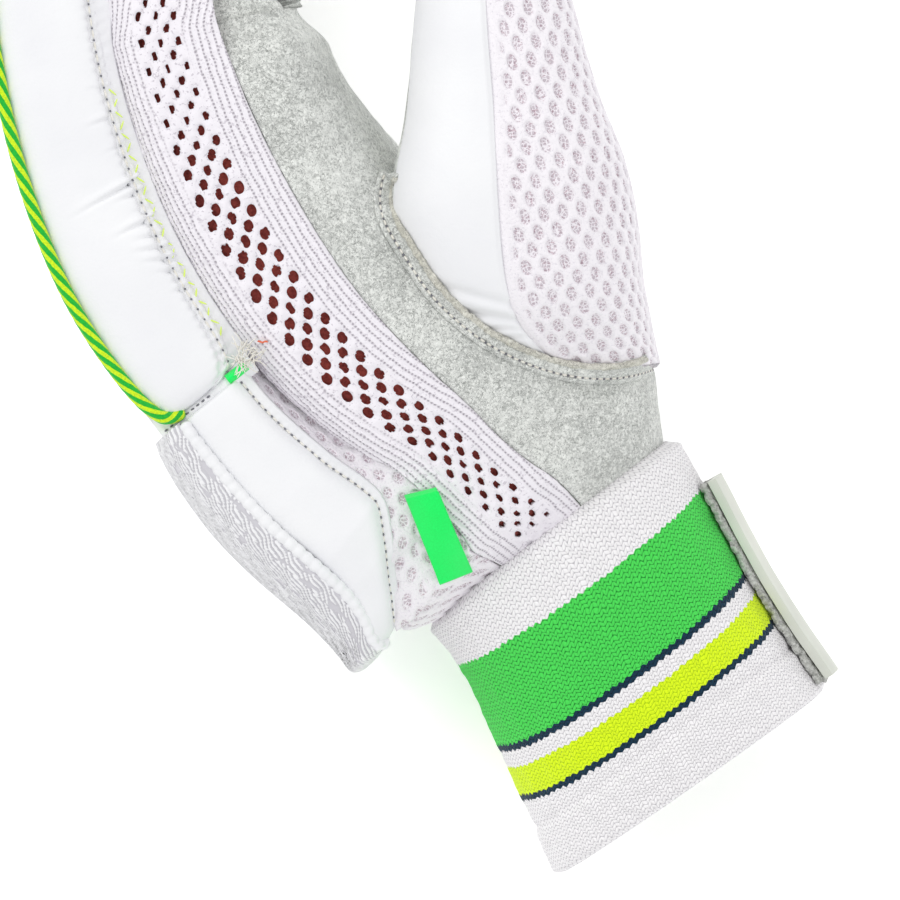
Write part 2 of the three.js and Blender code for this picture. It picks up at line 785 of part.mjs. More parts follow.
// Piping along the index roll's outer edge, made along its whole route
function makePiping() {
  const corner = radians(45);
  const middle = radians(20);
  const lift = (pipingRadius + softGap) * Math.SQRT1_2;
  const route = steps(1.2, rollRows.length - 1.4, 14).map((place) => {
    const edge = rollPoint(0, place, corner);
    const outward = rollPoint(0, place, middle).sub(rollPoint(0, place, Math.PI)).setZ(0).normalize();
    return edge.addScaledVector(outward, lift).add(new THREE.Vector3(0, 0, lift));
  });
  const sides = 8;
  const circle = new THREE.Shape(Array.from({ length: sides }, (_, j) => new THREE.Vector2(
    pipingRadius * Math.cos(2 * Math.PI * j / sides), pipingRadius * Math.sin(2 * Math.PI * j / sides),
  )));
  const path = new THREE.CatmullRomCurve3(route);
  const tube = new THREE.ExtrudeGeometry(circle, { steps: 16, extrudePath: path, bevelEnabled: false });
  tube.deleteAttribute("normal");
  tube.deleteAttribute("uv");
  const merged = mergeVertices(tube, 1e-4);
  merged.computeVertexNormals();
  addPiece("piping", "greenCord", merged);
}

// Wrist pad: a crowned block below the rolls, with an embossed cover over its outer face.
// lift is a share of the pad's depth, edge of the hand's, dome of the crown, height of the hand's top
const wristPadColumns = { along: 0, lift: 1, edge: 2, dome: 3, height: 4 };
const wristPadRows = [
  [0.124, 0.16, 0.88, 0.40, 0.84],
  [0.130, 0.12, 0.92, 0.60, 0.91],
  [0.142, 0.09, 0.92, 0.78, 0.95],
  [0.165, 0.06, 0.86, 0.92, 0.97],
  [0.200, 0.03, 0.81, 1.00, 0.98],
  [0.250, 0.02, 0.79, 1.00, 0.99],
  [0.340, 0.02, 0.778, 1.00, 0.99],
  [0.430, 0.02, 0.76, 0.92, 0.99],
  [0.480, 0.02, 0.75, 0.75, 0.98],
  [0.494, 0.06, 0.72, 0.60, 0.94],
];

const crownPower = 0.75;

function wristPadFrame(place) {
  const read = (column) => smoothRow(wristPadRows, place, wristPadColumns[column]);
  const along = read("along");
  const hand = handBack(along);
  const centre = (hand.top - settle) / 2;
  return {
    along,
    seat: hand.out + gap + read("lift") * wristPadDepth,
    edge: read("edge") * handDepth,
    dome: read("dome") * wristPadDome,
    centre,
    half: (centre + settle) * read("height"),
  };
}

// A point of the crown, angle 0 at its index edge and 180 at its little-finger edge
function wristPadCrown(frame, angle, inset) {
  const out = frame.edge + frame.dome * Math.sin(angle) ** crownPower - inset;
  return wristPadSide(frame, out, frame.centre + frame.half * Math.cos(angle));
}

function wristPadSide(frame, out, z) {
  const flat = onBend(frame.along, out);
  return new THREE.Vector3(flat.x, flat.y, Math.max(z, 0));
}

function makeWristPad() {
  const frames = steps(0, wristPadRows.length - 1, 9).map(wristPadFrame);
  const angles = steps(0, Math.PI, 8);
  const crown = (frame, inset) => angles.map((angle) => wristPadCrown(frame, angle, inset));
  const rings = frames.map((frame) => {
    const wall = (out, turn) => wristPadSide(frame, out, frame.centre + turn * frame.half);
    const middle = (frame.seat + frame.edge) / 2;
    const top = [wall(frame.seat, 1), wall(middle, 1)];
    const bottom = [wall(middle, -1), wall(frame.seat, -1)];
    return [...top, ...crown(frame, coverWall + gap), ...bottom];
  });
  addPiece("wrist_pad", "leather", loftSolid(rings));
  const layer = (inset) => frames.map((frame) => crown(frame, inset));
  addPiece("wrist_pad_cover", "leather", wallSolid(layer(0), layer(coverWall), false));
}

// Blank green tab, sewn flat over the edge of the band beside the wristband.
// Its start and end are places in the hand's table, and its sides shares of the way from back to palm
const tabSpan = { start: 0.6, end: 3.4, nearStart: 0.35, nearEnd: 0.5, width: 0.11 };

function makeSideTab() {
  const layer = (lift) => steps(tabSpan.start, tabSpan.end, 4).map((place) => {
    const section = handSection(place);
    const near = mix(tabSpan.nearStart, tabSpan.nearEnd, place / tabSpan.end) * section.bandBack;
    const shares = steps(near, near + tabSpan.width, 2);
    return shares.map((share) => handPoint(section, handAngle(section, share), -lift));
  });
  addPiece("side_tab", "greenTape", wallSolid(layer(softGap + tabThickness), layer(softGap), false));
}

makeCuff();
makeClosure();
makeHand();
makeBand();
makeFingers();
makeRolls();
makeTipPads();
makePiping();
makeWristPad();
makeSideTab();
makeThumb();

// The origin is at the middle of the underside
const box = new THREE.Box3().setFromObject(group);
group.position.set(-(box.min.x + box.max.x) / 2, -(box.min.y + box.max.y) / 2, -box.min.z);

export default group;
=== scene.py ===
import math
import random
from bisect import bisect_right
from collections import namedtuple

import bpy
from mathutils import Matrix, Vector, noise
from mathutils.bvhtree import BVHTree


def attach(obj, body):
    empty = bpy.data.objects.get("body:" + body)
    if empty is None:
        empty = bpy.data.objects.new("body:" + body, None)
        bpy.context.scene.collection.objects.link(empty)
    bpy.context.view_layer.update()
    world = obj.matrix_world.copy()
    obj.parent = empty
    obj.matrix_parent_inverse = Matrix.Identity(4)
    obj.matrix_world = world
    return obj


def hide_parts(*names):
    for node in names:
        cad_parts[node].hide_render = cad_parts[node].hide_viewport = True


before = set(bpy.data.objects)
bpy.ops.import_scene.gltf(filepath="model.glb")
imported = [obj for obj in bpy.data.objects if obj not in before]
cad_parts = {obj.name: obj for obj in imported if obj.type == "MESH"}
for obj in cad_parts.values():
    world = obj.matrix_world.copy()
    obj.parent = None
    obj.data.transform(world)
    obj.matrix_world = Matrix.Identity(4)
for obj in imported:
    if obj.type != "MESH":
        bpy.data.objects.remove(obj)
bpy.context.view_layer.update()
bpy.ops.object.select_all(action="DESELECT")

# ---------------------------------------------------------------------------
# The glove's own shape. Lengths are in millimetres until a piece is placed.

CENTRE = Vector((102.7762, 92.7116, 0))
BEND_RADIUS, BEND_HEADING = 163, 210
HAND_LENGTH, HAND_WIDTH, HAND_DEPTH, WRIST_AT = 150, 104, 50, 100
FINGER_LENGTH = 78
CUFF_LENGTH, CUFF_WIDTH, CUFF_HEIGHT, CUFF_HEADING = 66, 75, 62, 120
CUFF_WALL, CUFF_SLANT, CUFF_TILT, CUFF_OVERLAP, CUFF_SQUARE = 3, 0.12, 0.15, 9, 2.3
THUMB_LENGTH, THUMB_WIDTH, THUMB_HEIGHT = 107, 57, 50
THUMB_HEADING, THUMB_SQUARE = 98.5, 2.5
# the knit is drawn out a little, most on the strap's side
CUFF_STRETCH, CUFF_FLARE = 0.05, 0.038
GUSSET_WALL, LINING_WALL, SUEDE_WALL, CLOTH_WALL = 2, 1, 2, 1.6
ROLL_DEPTH, PAD_DEPTH, PAD_DOME = 27, 24, 11
PIPING_RADIUS = 1.9
GAP, SOFT_GAP, SETTLE, SEAM_GAP = 0.3, 0.7, 1.5, 0.016
BAND_STACK = GUSSET_WALL + LINING_WALL + 2 * SOFT_GAP
LITTLE_CORNER = math.radians(-38)

HAND = dict(along_back=0, back=1, along_palm=2, palm=3, floor=4, top=5,
            band_back=6, band_palm=7, middle=8, square_back=9, square_palm=10)
HAND_ROWS = [
    [0.091, 0.66, -0.123, -0.54, 0.125, 0.660, 0.28, 0.63, 0.50, 2.3, 2.3],
    [0.117, 0.74, -0.067, -0.82, 0.070, 0.720, 0.27, 0.58, 0.48, 2.6, 2.3],
    [0.153, 0.62, 0.000, -0.90, 0.040, 0.755, 0.24, 0.53, 0.46, 3.2, 2.4],
    [0.193, 0.44, 0.080, -0.90, 0.015, 0.790, 0.17, 0.49, 0.44, 4.2, 2.4],
    [0.240, 0.27, 0.173, -0.90, 0.000, 0.825, 0.07, 0.45, 0.42, 5.4, 2.4],
    [0.333, 0.28, 0.300, -0.90, 0.000, 0.870, 0.03, 0.47, 0.42, 6.0, 2.4],
    [0.467, 0.31, 0.450, -0.88, 0.000, 0.915, 0.02, 0.50, 0.42, 6.0, 2.4],
    [0.667, 0.31, 0.667, -0.84, 0.000, 0.960, 0.02, 0.53, 0.42, 6.0, 2.6],
    [0.867, 0.29, 0.867, -0.73, 0.000, 0.990, 0.02, 0.56, 0.42, 6.0, 3.6],
    [1.000, 0.28, 1.000, -0.70, 0.000, 1.000, 0.02, 0.54, 0.42, 6.0, 5.0],
]
HAND_END = len(HAND_ROWS) - 1
CUFF = dict(up=0, back=1, palm=2, height=3)
CUFF_ROWS = [
    [0.00, 0.98, 1.00, 1.00], [-0.22, 0.93, 0.98, 1.00], [-0.55, 0.98, 0.96, 1.00],
    [-0.80, 1.02, 0.98, 1.00], [-0.97, 1.05, 1.01, 1.00], [-1.00, 1.03, 1.00, 0.98],
]
THUMB = dict(forward=0, aside=1, half=2, centre=3, rise=4)
THUMB_ROWS = [
    [-0.08, -0.144, 0.52, 0.54, 0.76], [0.09, 0.056, 0.88, 0.66, 1.04],
    [0.32, 0.112, 1.00, 0.775, 0.92], [0.54, 0.094, 0.79, 0.82, 0.80],
    [0.75, 0.070, 0.64, 0.84, 0.70], [0.89, 0.035, 0.55, 0.845, 0.62],
    [0.97, 0.004, 0.38, 0.845, 0.42], [0.995, 0.004, 0.15, 0.845, 0.17],
]
THUMB_END = len(THUMB_ROWS) - 1
BAND = dict(past=0, back=1, palm=2)
BAND_ROWS = [
    [0.00, 0.26, -0.26], [0.12, 0.23, -0.25], [0.30, 0.20, -0.25],
    [0.55, 0.17, -0.24], [0.80, 0.09, -0.19],
]
FINGER = dict(past=0, back=1, palm=2, girth=3, square=4)
FINGER_ROWS = [
    [-0.07, 0.195, -0.59, 0.92, 3.4], [0.02, 0.205, -0.55, 0.94, 3.1],
    [0.10, 0.265, -0.50, 0.975, 2.8], [0.45, 0.245, -0.46, 0.955, 2.6],
    [0.75, 0.190, -0.38, 0.89, 2.5], [0.93, 0.120, -0.25, 0.74, 2.4],
    [0.98, 0.040, -0.16, 0.50, 2.4],
]
FINGERS = ["index", "middle", "ring", "little"]
FINGER_REACH = [0.97, 1.04, 1.0, 0.9]
FINGER_CURL = [0, 0.10, 0.13, 0.10]
ROLL = dict(along=0, lift=1, depth=2, girth=3)
ROLL_ROWS = [
    [0.506, 0.36, 0.58, 0.55], [0.512, 0.18, 0.80, 0.80], [0.530, 0.06, 0.90, 0.93],
    [0.580, 0.00, 0.96, 0.97], [0.700, 0.00, 1.00, 0.98], [0.850, 0.00, 0.98, 0.98],
    [1.000, 0.00, 0.94, 0.98], [1.120, 0.00, 0.90, 0.96], [1.147, 0.10, 0.76, 0.80],
]
TIP = dict(run=0, lift=1, depth=2, girth=3)
TIP_ROWS = [
    [0.00, 0.10, 0.66, 0.80], [0.05, 0.00, 0.80, 0.94], [0.45, 0.00, 0.78, 0.92],
    [0.80, 0.00, 0.66, 0.84], [1.00, 0.10, 0.46, 0.62],
]
PAD = dict(along=0, lift=1, edge=2, dome=3, height=4)
PAD_ROWS = [
    [0.124, 0.16, 0.88, 0.40, 0.84], [0.130, 0.12, 0.92, 0.60, 0.91],
    [0.142, 0.09, 0.92, 0.78, 0.95], [0.165, 0.08, 0.86, 0.92, 0.97],
    [0.200, 0.09, 0.81, 1.00, 0.98], [0.250, 0.11, 0.79, 1.00, 0.99],
    [0.340, 0.12, 0.778, 1.00, 0.99], [0.430, 0.12, 0.76, 0.92, 0.99],
    [0.480, 0.11, 0.75, 0.80, 0.99], [0.500, 0.12, 0.74, 0.72, 0.98],
]


def mix(a, b, t):
    return a + (b - a) * t


def clamp(value, low=0.0, high=1.0):
    return min(max(value, low), high)


def ease(value):
    value = clamp(value)
    return value * value * (3 - 2 * value)


def runs_of(points):
    """How far along a route each of its points lies"""
    runs = [0.0]
    for a, b in zip(points, points[1:]):
        runs.append(runs[-1] + (b - a).length)
    return runs


def lengths_along(point_at, samples):
    """How far along a line each of its even steps lies"""
    return runs_of([point_at(i / samples) for i in range(samples + 1)])


def step_at(runs, run):
    """The share of its steps after which a line has come this far"""
    i = min(max(bisect_right(runs, run) - 1, 0), len(runs) - 2)
    part = (run - runs[i]) / max(runs[i + 1] - runs[i], 1e-9)
    return (i + clamp(part)) / (len(runs) - 1)


def at_run(route, runs, run):
    """The place that lies this far along a route, and the route's direction there"""
    i = min(max(bisect_right(runs, run) - 1, 0), len(route) - 2)
    part = (run - runs[i]) / max(runs[i + 1] - runs[i], 1e-9)
    return route[i].lerp(route[i + 1], clamp(part)), (route[i + 1] - route[i]).normalized()


def drawn_in(v, start, end):
    """How much a padded piece has narrowed at v, near its ends, which are these shares of its length"""
    cap = max(1 - v / start, (v - 1 + end) / end, 0)
    return math.sqrt(max(1 - cap ** 2, 0))


def smooth_row(rows, place, column):
    """A smooth value between the rows of a table, read at a place counted in rows"""
    last = len(rows) - 1
    i = max(min(int(math.floor(place)), last - 1), 0)
    t = place - i
    p1, p2 = rows[i][column], rows[i + 1][column]
    p0 = rows[i - 1][column] if i > 0 else 2 * p1 - p2
    p3 = rows[i + 2][column] if i + 2 <= last else 2 * p2 - p1
    slope1, slope2 = (p2 - p0) / 2, (p3 - p1) / 2
    return mix(p1, p2, t * t * (3 - 2 * t)) + t * (1 - t) * (slope1 * (1 - t) - slope2 * t)


def on_bend(along, out):
    angle = math.radians(BEND_HEADING) - (along * HAND_LENGTH - WRIST_AT) / BEND_RADIUS
    radius = BEND_RADIUS + out
    return radius * math.cos(angle), radius * math.sin(angle)


CUFF_ORIGIN = on_bend(0, 0.05 * HAND_DEPTH)


def on_cuff(across, up):
    side, axis = math.radians(CUFF_HEADING - 90), math.radians(CUFF_HEADING)
    return (CUFF_ORIGIN[0] + across * math.cos(side) + up * math.cos(axis),
            CUFF_ORIGIN[1] + across * math.sin(side) + up * math.sin(axis))


def rounded(angle, reach_out, reach_in, reach_up, square_out, square_in):
    c, s = math.cos(angle), math.sin(angle)
    square, reach = (square_out, reach_out) if c > 0 else (square_in, reach_in)
    return (math.copysign(reach * abs(c) ** (2 / square), c),
            math.copysign(reach_up * abs(s) ** (2 / square), s))


def swapped(turn, square_out, square_in, to_ray):
    """From the angle that `rounded` takes to its point's direction from the middle, or back"""
    c, s = math.cos(turn), math.sin(turn)
    square = square_out if c > 0 else square_in
    power = 2 / square if to_ray else square / 2
    other = math.atan2(math.copysign(abs(s) ** power, s), math.copysign(abs(c) ** power, c))
    return other + 2 * math.pi * round((turn - other) / (2 * math.pi))


def cuff_ring(place):
    """A ring round the wristband: angle 0 faces the palm and 90 the index side"""
    read = {name: smooth_row(CUFF_ROWS, place, column) for name, column in CUFF.items()}
    up = read["up"] * CUFF_LENGTH
    centre = CUFF_HEIGHT / 2 - SETTLE + CUFF_TILT * (CUFF_LENGTH + up)

    def point(angle, lift):
        x, z = rounded(angle, read["palm"] * CUFF_WIDTH / 2 + lift, read["back"] * CUFF_WIDTH / 2 + lift,
                       read["height"] * CUFF_HEIGHT / 2 + lift, CUFF_SQUARE, CUFF_SQUARE)
        flat = on_cuff(x, up * (1 + CUFF_STRETCH + CUFF_FLARE * x / CUFF_WIDTH) + x * CUFF_SLANT)
        return Vector((*flat, max(centre + z, max(-lift, 0.02))))
    return point


def hand_section(place):
    read = {name: smooth_row(HAND_ROWS, max(place, 0), column) for name, column in HAND.items()}
    shape = {name: read[name] for name in ("band_back", "band_palm", "middle", "square_back", "square_palm")}
    shape["press"] = mix(0, SETTLE, clamp(place))
    if place < 1:
        depth = max(-place, 0) * CUFF_OVERLAP / CUFF_LENGTH / abs(CUFF_ROWS[1][0])
        ring = cuff_ring(depth)
        inset = -CUFF_WALL - SOFT_GAP
        shape.update(back=ring(math.pi, inset).xy, palm=ring(0, inset).xy,
                     floor=ring(-math.pi / 2, inset).z, top=ring(math.pi / 2, inset).z)
        if place > 0:
            then = hand_section(1)
            shape.update({end: shape[end].lerp(then[end], place) for end in ("back", "palm")})
            shape.update({end: mix(shape[end], then[end], place) for end in ("floor", "top")})
        return shape
    shape.update(back=Vector(on_bend(read["along_back"], read["back"] * HAND_DEPTH)),
                 palm=Vector(on_bend(read["along_palm"], read["palm"] * HAND_DEPTH)),
                 floor=max(read["floor"], 0) * HAND_WIDTH, top=read["top"] * HAND_WIDTH)
    return shape


def hand_point(section, angle, lift):
    """A point on the hand: angle 0 faces the back, 90 the index side, 180 the palm"""
    chord = section["palm"] - section["back"]
    length, middle = chord.length, section["middle"]
    up = (section["top"] - section["floor"] + section["press"]) / 2
    x, z = rounded(angle, length * middle + lift, length * (1 - middle) + lift, up + lift,
                   section["square_back"], section["square_palm"])
    flat = section["back"] + chord * (middle - x / length)
    height = (section["top"] + section["floor"] - section["press"]) / 2 + z
    return Vector((flat.x, flat.y, max(height, section["floor"] + max(-lift, 0.02))))


def hand_angle(section, share):
    to_back = share < section["middle"]
    reach = section["middle"] if to_back else 1 - section["middle"]
    square = section["square_back"] if to_back else section["square_palm"]
    turn = math.acos(min(abs(section["middle"] - share) / reach, 1) ** (square / 2))
    return turn if to_back else math.pi - turn


def thumb_ring(place):
    """A ring round the thumb: angle 0 faces away from the fingers and 90 up"""
    read = {name: smooth_row(THUMB_ROWS, place, column) for name, column in THUMB.items()}
    root = on_bend(0.145, -0.746 * HAND_DEPTH)
    heading = math.radians(THUMB_HEADING)
    forward = read["forward"] * THUMB_LENGTH
    half, rise = read["half"] * THUMB_WIDTH / 2, read["rise"] * THUMB_HEIGHT / 2

    def point(angle, lift, shrink=1.0):
        x, z = rounded(angle, half * shrink + lift, half * shrink + lift, rise * shrink + lift,
                       THUMB_SQUARE, THUMB_SQUARE)
        aside = read["aside"] * THUMB_WIDTH - x
        return Vector((root[0] + forward * math.cos(heading) - aside * math.sin(heading),
                       root[1] + forward * math.sin(heading) + aside * math.cos(heading),
                       read["centre"] * HAND_WIDTH + z))
    return point


def finger_lane(number):
    floor = SUEDE_WALL + SOFT_GAP
    room = (HAND_WIDTH - floor - BAND_STACK - GAP) / len(FINGERS)
    return floor + room * (len(FINGERS) - number - 0.5), room / 2


def finger_section(number, place):
    read = {name: smooth_row(FINGER_ROWS, place, column) for name, column in FINGER.items()}
    past = read["past"]
    back, palm = read["back"] * HAND_DEPTH, read["palm"] * HAND_DEPTH
    deeper = 0.12 * HAND_DEPTH if number > 0 and past > 0.05 else 0
    bow = -FINGER_CURL[number] * HAND_DEPTH * max(past, 0) ** 1.5 * FINGER_REACH[number]
    height, half = finger_lane(number)
    return dict(past=past, along=1 + past * FINGER_REACH[number] * FINGER_LENGTH / HAND_LENGTH,
                middle=(back + palm - deeper) / 2 + bow, reach=(back - palm + deeper) / 2,
                height=height, half=read["girth"] * half, square=read["square"])


def finger_place(past):
    last = len(FINGER_ROWS) - 1
    for i in range(20 * last + 1):
        if smooth_row(FINGER_ROWS, i / 20, FINGER["past"]) >= past:
            return i / 20
    return last


def finger_top(number, past, out):
    section = finger_section(number, finger_place(past))
    across = min(abs(out - section["middle"]) / section["reach"], 0.92)
    rise = (1 - across ** section["square"]) ** (1 / section["square"])
    return Vector((*on_bend(section["along"], out), section["height"] + rise * section["half"]))


def band_row(place):
    """A line across the index-side band, from its back edge to its palm edge"""
    section = hand_section(min(place, HAND_END))

    def on_top(share, lift):
        place_on_hand = mix(section["band_back"], section["band_palm"], share)
        return hand_point(section, hand_angle(section, place_on_hand), lift)

    if place <= HAND_END:
        return on_top
    row = (place - HAND_END) * (len(BAND_ROWS) - 1)
    read = {name: smooth_row(BAND_ROWS, max(row, 1), column) for name, column in BAND.items()}

    def on_finger(share, lift):
        out = mix(read["back"], read["palm"], share) * HAND_DEPTH
        top = finger_top(0, read["past"], out)
        top.z += BAND_STACK - GAP + lift
        return on_top(share, lift).lerp(top, row) if row < 1 else top
    return on_finger


def hand_back(along):
    i = 0
    while i < len(HAND_ROWS) - 2 and HAND_ROWS[i + 1][0] < along:
        i += 1
    start, end = HAND_ROWS[i][0], HAND_ROWS[i + 1][0]
    place = clamp((along - start) / (end - start)) + i
    return (smooth_row(HAND_ROWS, place, HAND["back"]) * HAND_DEPTH,
            smooth_row(HAND_ROWS, place, HAND["top"]) * HAND_WIDTH)


# ---------------------------------------------------------------------------
# Making, placing and finishing pieces

def to_frame(point):
    return (point + CENTRE) / 1000


def only(piece):
    bpy.ops.object.select_all(action="DESELECT")
    piece.select_set(True)
    bpy.context.view_layer.objects.active = piece


Spot = namedtuple("Spot", "across along share left right ahead")
# a patch's length is measured in this many steps, and each of its lines in this many
SPINE_STEPS, LINE_STEPS, LOOK_AHEAD = 160, 64, 0.4


def patch(name, across, along, row, relief=None, closed=False, mask=None, warp=None, hollow=None):
    """A grid moved to row(v)(u, lift), evenly spaced by length, with a map of millimetres on it.

    relief, mask and warp read a Spot: millimetres across from the middle of its line, along from the
    start, the line's own share, and millimetres from the left edge, the right edge and the far end."""
    bpy.ops.object.select_all(action="DESELECT")
    bpy.ops.mesh.primitive_grid_add(x_subdivisions=across, y_subdivisions=along, size=2)
    piece = bpy.context.object
    piece.name = name
    mesh = piece.data
    spine = lengths_along(lambda v: row(v)(0.5, 0), SPINE_STEPS)
    rows = {}
    for vertex in mesh.vertices:
        rows.setdefault(round(vertex.co.y, 5), []).append(vertex)
    pattern = mesh.attributes.new("pattern", "FLOAT", "POINT") if mask else None
    map_of, open_places = {}, set()
    for y, members in rows.items():
        down = (y + 1) / 2 * spine[-1]
        point = row(step_at(spine, down))
        ahead = row(step_at(spine, down + LOOK_AHEAD)) if warp else None
        runs = lengths_along(lambda u: point(u, 0), LINE_STEPS)
        for vertex in members:
            reach = (vertex.co.x + 1) / 2 * runs[-1]
            spot = Spot(reach - runs[-1] / 2, down, step_at(runs, reach), reach, runs[-1] - reach,
                        spine[-1] - down)
            share, onward = warp(spot) if warp else (spot.share, 0.0)
            place = point(share, relief(spot) if relief else 0.0)
            if onward:
                place += (ahead(share, 0) - point(share, 0)) * (onward / LOOK_AHEAD)
            if mask:
                pattern.data[vertex.index].value = mask(spot)
            vertex.co = to_frame(place)
            map_of[vertex.index] = (spot.across, spot.along)
            if hollow and hollow(spot):
                open_places.add(vertex.index)
    for loop, layer in zip(mesh.loops, mesh.uv_layers[0].data):
        layer.uv = map_of[loop.vertex_index]
    mesh.update()
    middle = row(0.5)
    out = middle(0.5, 1.0) - middle(0.5, 0.0)
    centre = to_frame(middle(0.5, 0))
    nearest = min(mesh.polygons, key=lambda face: (face.center - centre).length)
    if nearest.normal.dot(out) < 0:
        only(piece)
        bpy.ops.object.mode_set(mode="EDIT")
        bpy.ops.mesh.select_all(action="SELECT")
        bpy.ops.mesh.flip_normals()
        bpy.ops.object.mode_set(mode="OBJECT")
    if open_places:
        delete_faces(piece, lambda face: sum(i in open_places for i in face.vertices) >= 3)
    if closed:
        weld(piece)
    only(piece)
    bpy.ops.object.shade_smooth()
    return piece


def soft_noise(spot, size, seed):
    """An uneven value from -1 to 1 whose lumps are this many millimetres apart"""
    return noise.noise(Vector((spot.across / size, spot.along / size, seed)))


def weld(piece, distance=1e-5):
    only(piece)
    bpy.ops.object.mode_set(mode="EDIT")
    bpy.ops.mesh.select_all(action="SELECT")
    bpy.ops.mesh.remove_doubles(threshold=distance)
    bpy.ops.object.mode_set(mode="OBJECT")


def modify(piece, kind, **settings):
    only(piece)
    modifier = piece.modifiers.new(kind.lower(), kind)
    for key, value in settings.items():
        setattr(modifier, key, value)
    bpy.ops.object.modifier_apply(modifier=modifier.name)


def thicken(piece, wall):
    modify(piece, "SOLIDIFY", thickness=wall / 1000, offset=-1, use_even_offset=False)


def delete_faces(piece, wanted):
    only(piece)
    bpy.ops.object.mode_set(mode="EDIT")
    bpy.ops.mesh.select_mode(type="FACE")
    bpy.ops.object.mode_set(mode="OBJECT")
    for face in piece.data.polygons:
        face.select = wanted(face)
    bpy.ops.object.mode_set(mode="EDIT")
    bpy.ops.mesh.delete(type="FACE")
    bpy.ops.object.mode_set(mode="OBJECT")


def finished(piece, material, slot, *nodes):
    """A piece's look, and its place on the glove; nothing reaches through the surface that it lies on"""
    for vertex in piece.data.vertices:
        vertex.co.z = max(vertex.co.z, 0.0)
    piece.data.materials.clear()
    piece.data.materials.append(material)
    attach(piece, "root")
    if nodes:
        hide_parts(*nodes)
    return piece


def joined(name, pieces):
    bpy.ops.object.select_all(action="DESELECT")
    for piece in pieces:
        piece.select_set(True)
    bpy.context.view_layer.objects.active = pieces[0]
    bpy.ops.object.join()
    pieces[0].name = name
    return pieces[0]


def places_along(route, pitch):
    """Evenly spaced places on a route, each with the route's direction there"""
    runs = runs_of(route)
    count = max(int(runs[-1] / pitch), 1)
    return [at_run(route, runs, (k + 0.5) * runs[-1] / count) for k in range(count)]


def stitched(name, places, size, material, slot):
    """Stitches that lie along a seam, of this length, width and height; the same small beads in dark grey are
    the painted shade of needle holes
    """
    bpy.ops.object.select_all(action="DESELECT")
    bpy.ops.mesh.primitive_uv_sphere_add(segments=8, ring_count=6, radius=0.5)
    first = bpy.context.object
    bpy.ops.object.shade_smooth()
    copies = []
    for place, heading in places:
        side = Vector((0, 0, 1)).cross(heading).normalized()
        turn = Matrix((heading, side, heading.cross(side))).transposed()
        copy = first.copy()
        copy.data = first.data.copy()
        bpy.context.collection.objects.link(copy)
        copy.data.transform(Matrix.Translation(to_frame(place)) @ turn.to_4x4()
                            @ Matrix.Diagonal((*(side_ / 1000 for side_ in size), 1)))
        copies.append(copy)
    bpy.data.objects.remove(first)
    return finished(joined(name, copies), material, slot)


def bridge_row(near, far, sag=0.0):
    """Lines from the places of one route to those of another, hung a little in the middle"""
    def row(v):
        place = v * (len(near) - 1)
        i = min(int(place), len(near) - 2)
        a = near[i].lerp(near[i + 1], place - i)
        b = far[i].lerp(far[i + 1], place - i)
        return lambda u, lift: a.lerp(b, u) + Vector((0, 0, lift - sag * math.sin(math.pi * u)))
    return row


def nearest_on(route, point):
    return min(route, key=lambda other: (other - point).length)


def softened(route, times=3):
    """A route with its small jumps evened out"""
    for _ in range(times):
        route = ([route[0]] + [(a + 2 * b + c) / 4 for a, b, c in zip(route, route[1:], route[2:])]
                 + [route[-1]])
    return route


def tube(name, route, radius, sides=8, twist=None):
    """A round strand along a list of points, its ends drawn in"""
    lengths = runs_of(route)
    total = lengths[-1]

    def row(v):
        place = v * (len(route) - 1)
        i = min(int(place), len(route) - 2)
        centre = route[i].lerp(route[i + 1], place - i)
        back, ahead = route[max(i - 1, 0)], route[min(i + 2, len(route) - 1)]
        forward = (ahead - back).normalized()
        side = forward.cross(Vector((0, 0, 1)))
        side = side.normalized() if side.length > 1e-4 else Vector((1, 0, 0))
        up = side.cross(forward)
        run = mix(lengths[i], lengths[i + 1], place - i)
        near = min(run, total - run) / radius
        thin = math.sqrt(max(1 - (1 - min(near, 1)) ** 2, 0))

        def point(u, lift):
            turn = 2 * math.pi * u
            reach = (radius + (twist(turn, run) if twist else 0)) * thin + lift * min(thin, 1)
            return centre + (side * math.cos(turn) + up * math.sin(turn)) * reach
        return point
    return patch(name, sides, max(len(route) - 1, 2), row, closed=True)


# ---------------------------------------------------------------------------
# Camera, and rays through the picture onto the pieces

FOCUS = Vector((0.009726, -0.038888, 0.0))
EYE_HEIGHT, LEVEL, PIXELS_PER_M, PICTURE = 2.6, 0.09, 4300, 900
bpy.ops.object.camera_add(location=(FOCUS.x, FOCUS.y, EYE_HEIGHT), rotation=(0, 0, 0))
camera = bpy.context.object
camera.name = "camera"
camera.data.sensor_width = 36
camera.data.lens = 36 * (EYE_HEIGHT - LEVEL) / (PICTURE / PIXELS_PER_M)
camera.data.clip_end = 50
bpy.context.scene.camera = camera


def ray_through(pixel):
    aim = Vector(((pixel[0] - PICTURE / 2) / PIXELS_PER_M, (PICTURE / 2 - pixel[1]) / PIXELS_PER_M,
                  LEVEL - EYE_HEIGHT))
    return camera.location.copy(), aim.normalized()


class Skin:
    """The outer surface of some pieces, for laying other pieces on it"""

    def __init__(self, pieces):
        points, faces = [], []
        for piece in pieces:
            start = len(points)
            points += [v.co.copy() for v in piece.data.vertices]
            faces += [[start + i for i in face.vertices] for face in piece.data.polygons]
        self.tree = BVHTree.FromPolygons(points, faces)

    def under(self, pixel):
        start, aim = ray_through(pixel)
        spot, normal, _, _ = self.tree.ray_cast(start, aim)
        return spot, normal

    def below(self, point):
        spot, normal, _, _ = self.tree.ray_cast(Vector((point.x, point.y, 1)), Vector((0, 0, -1)))
        return spot, normal


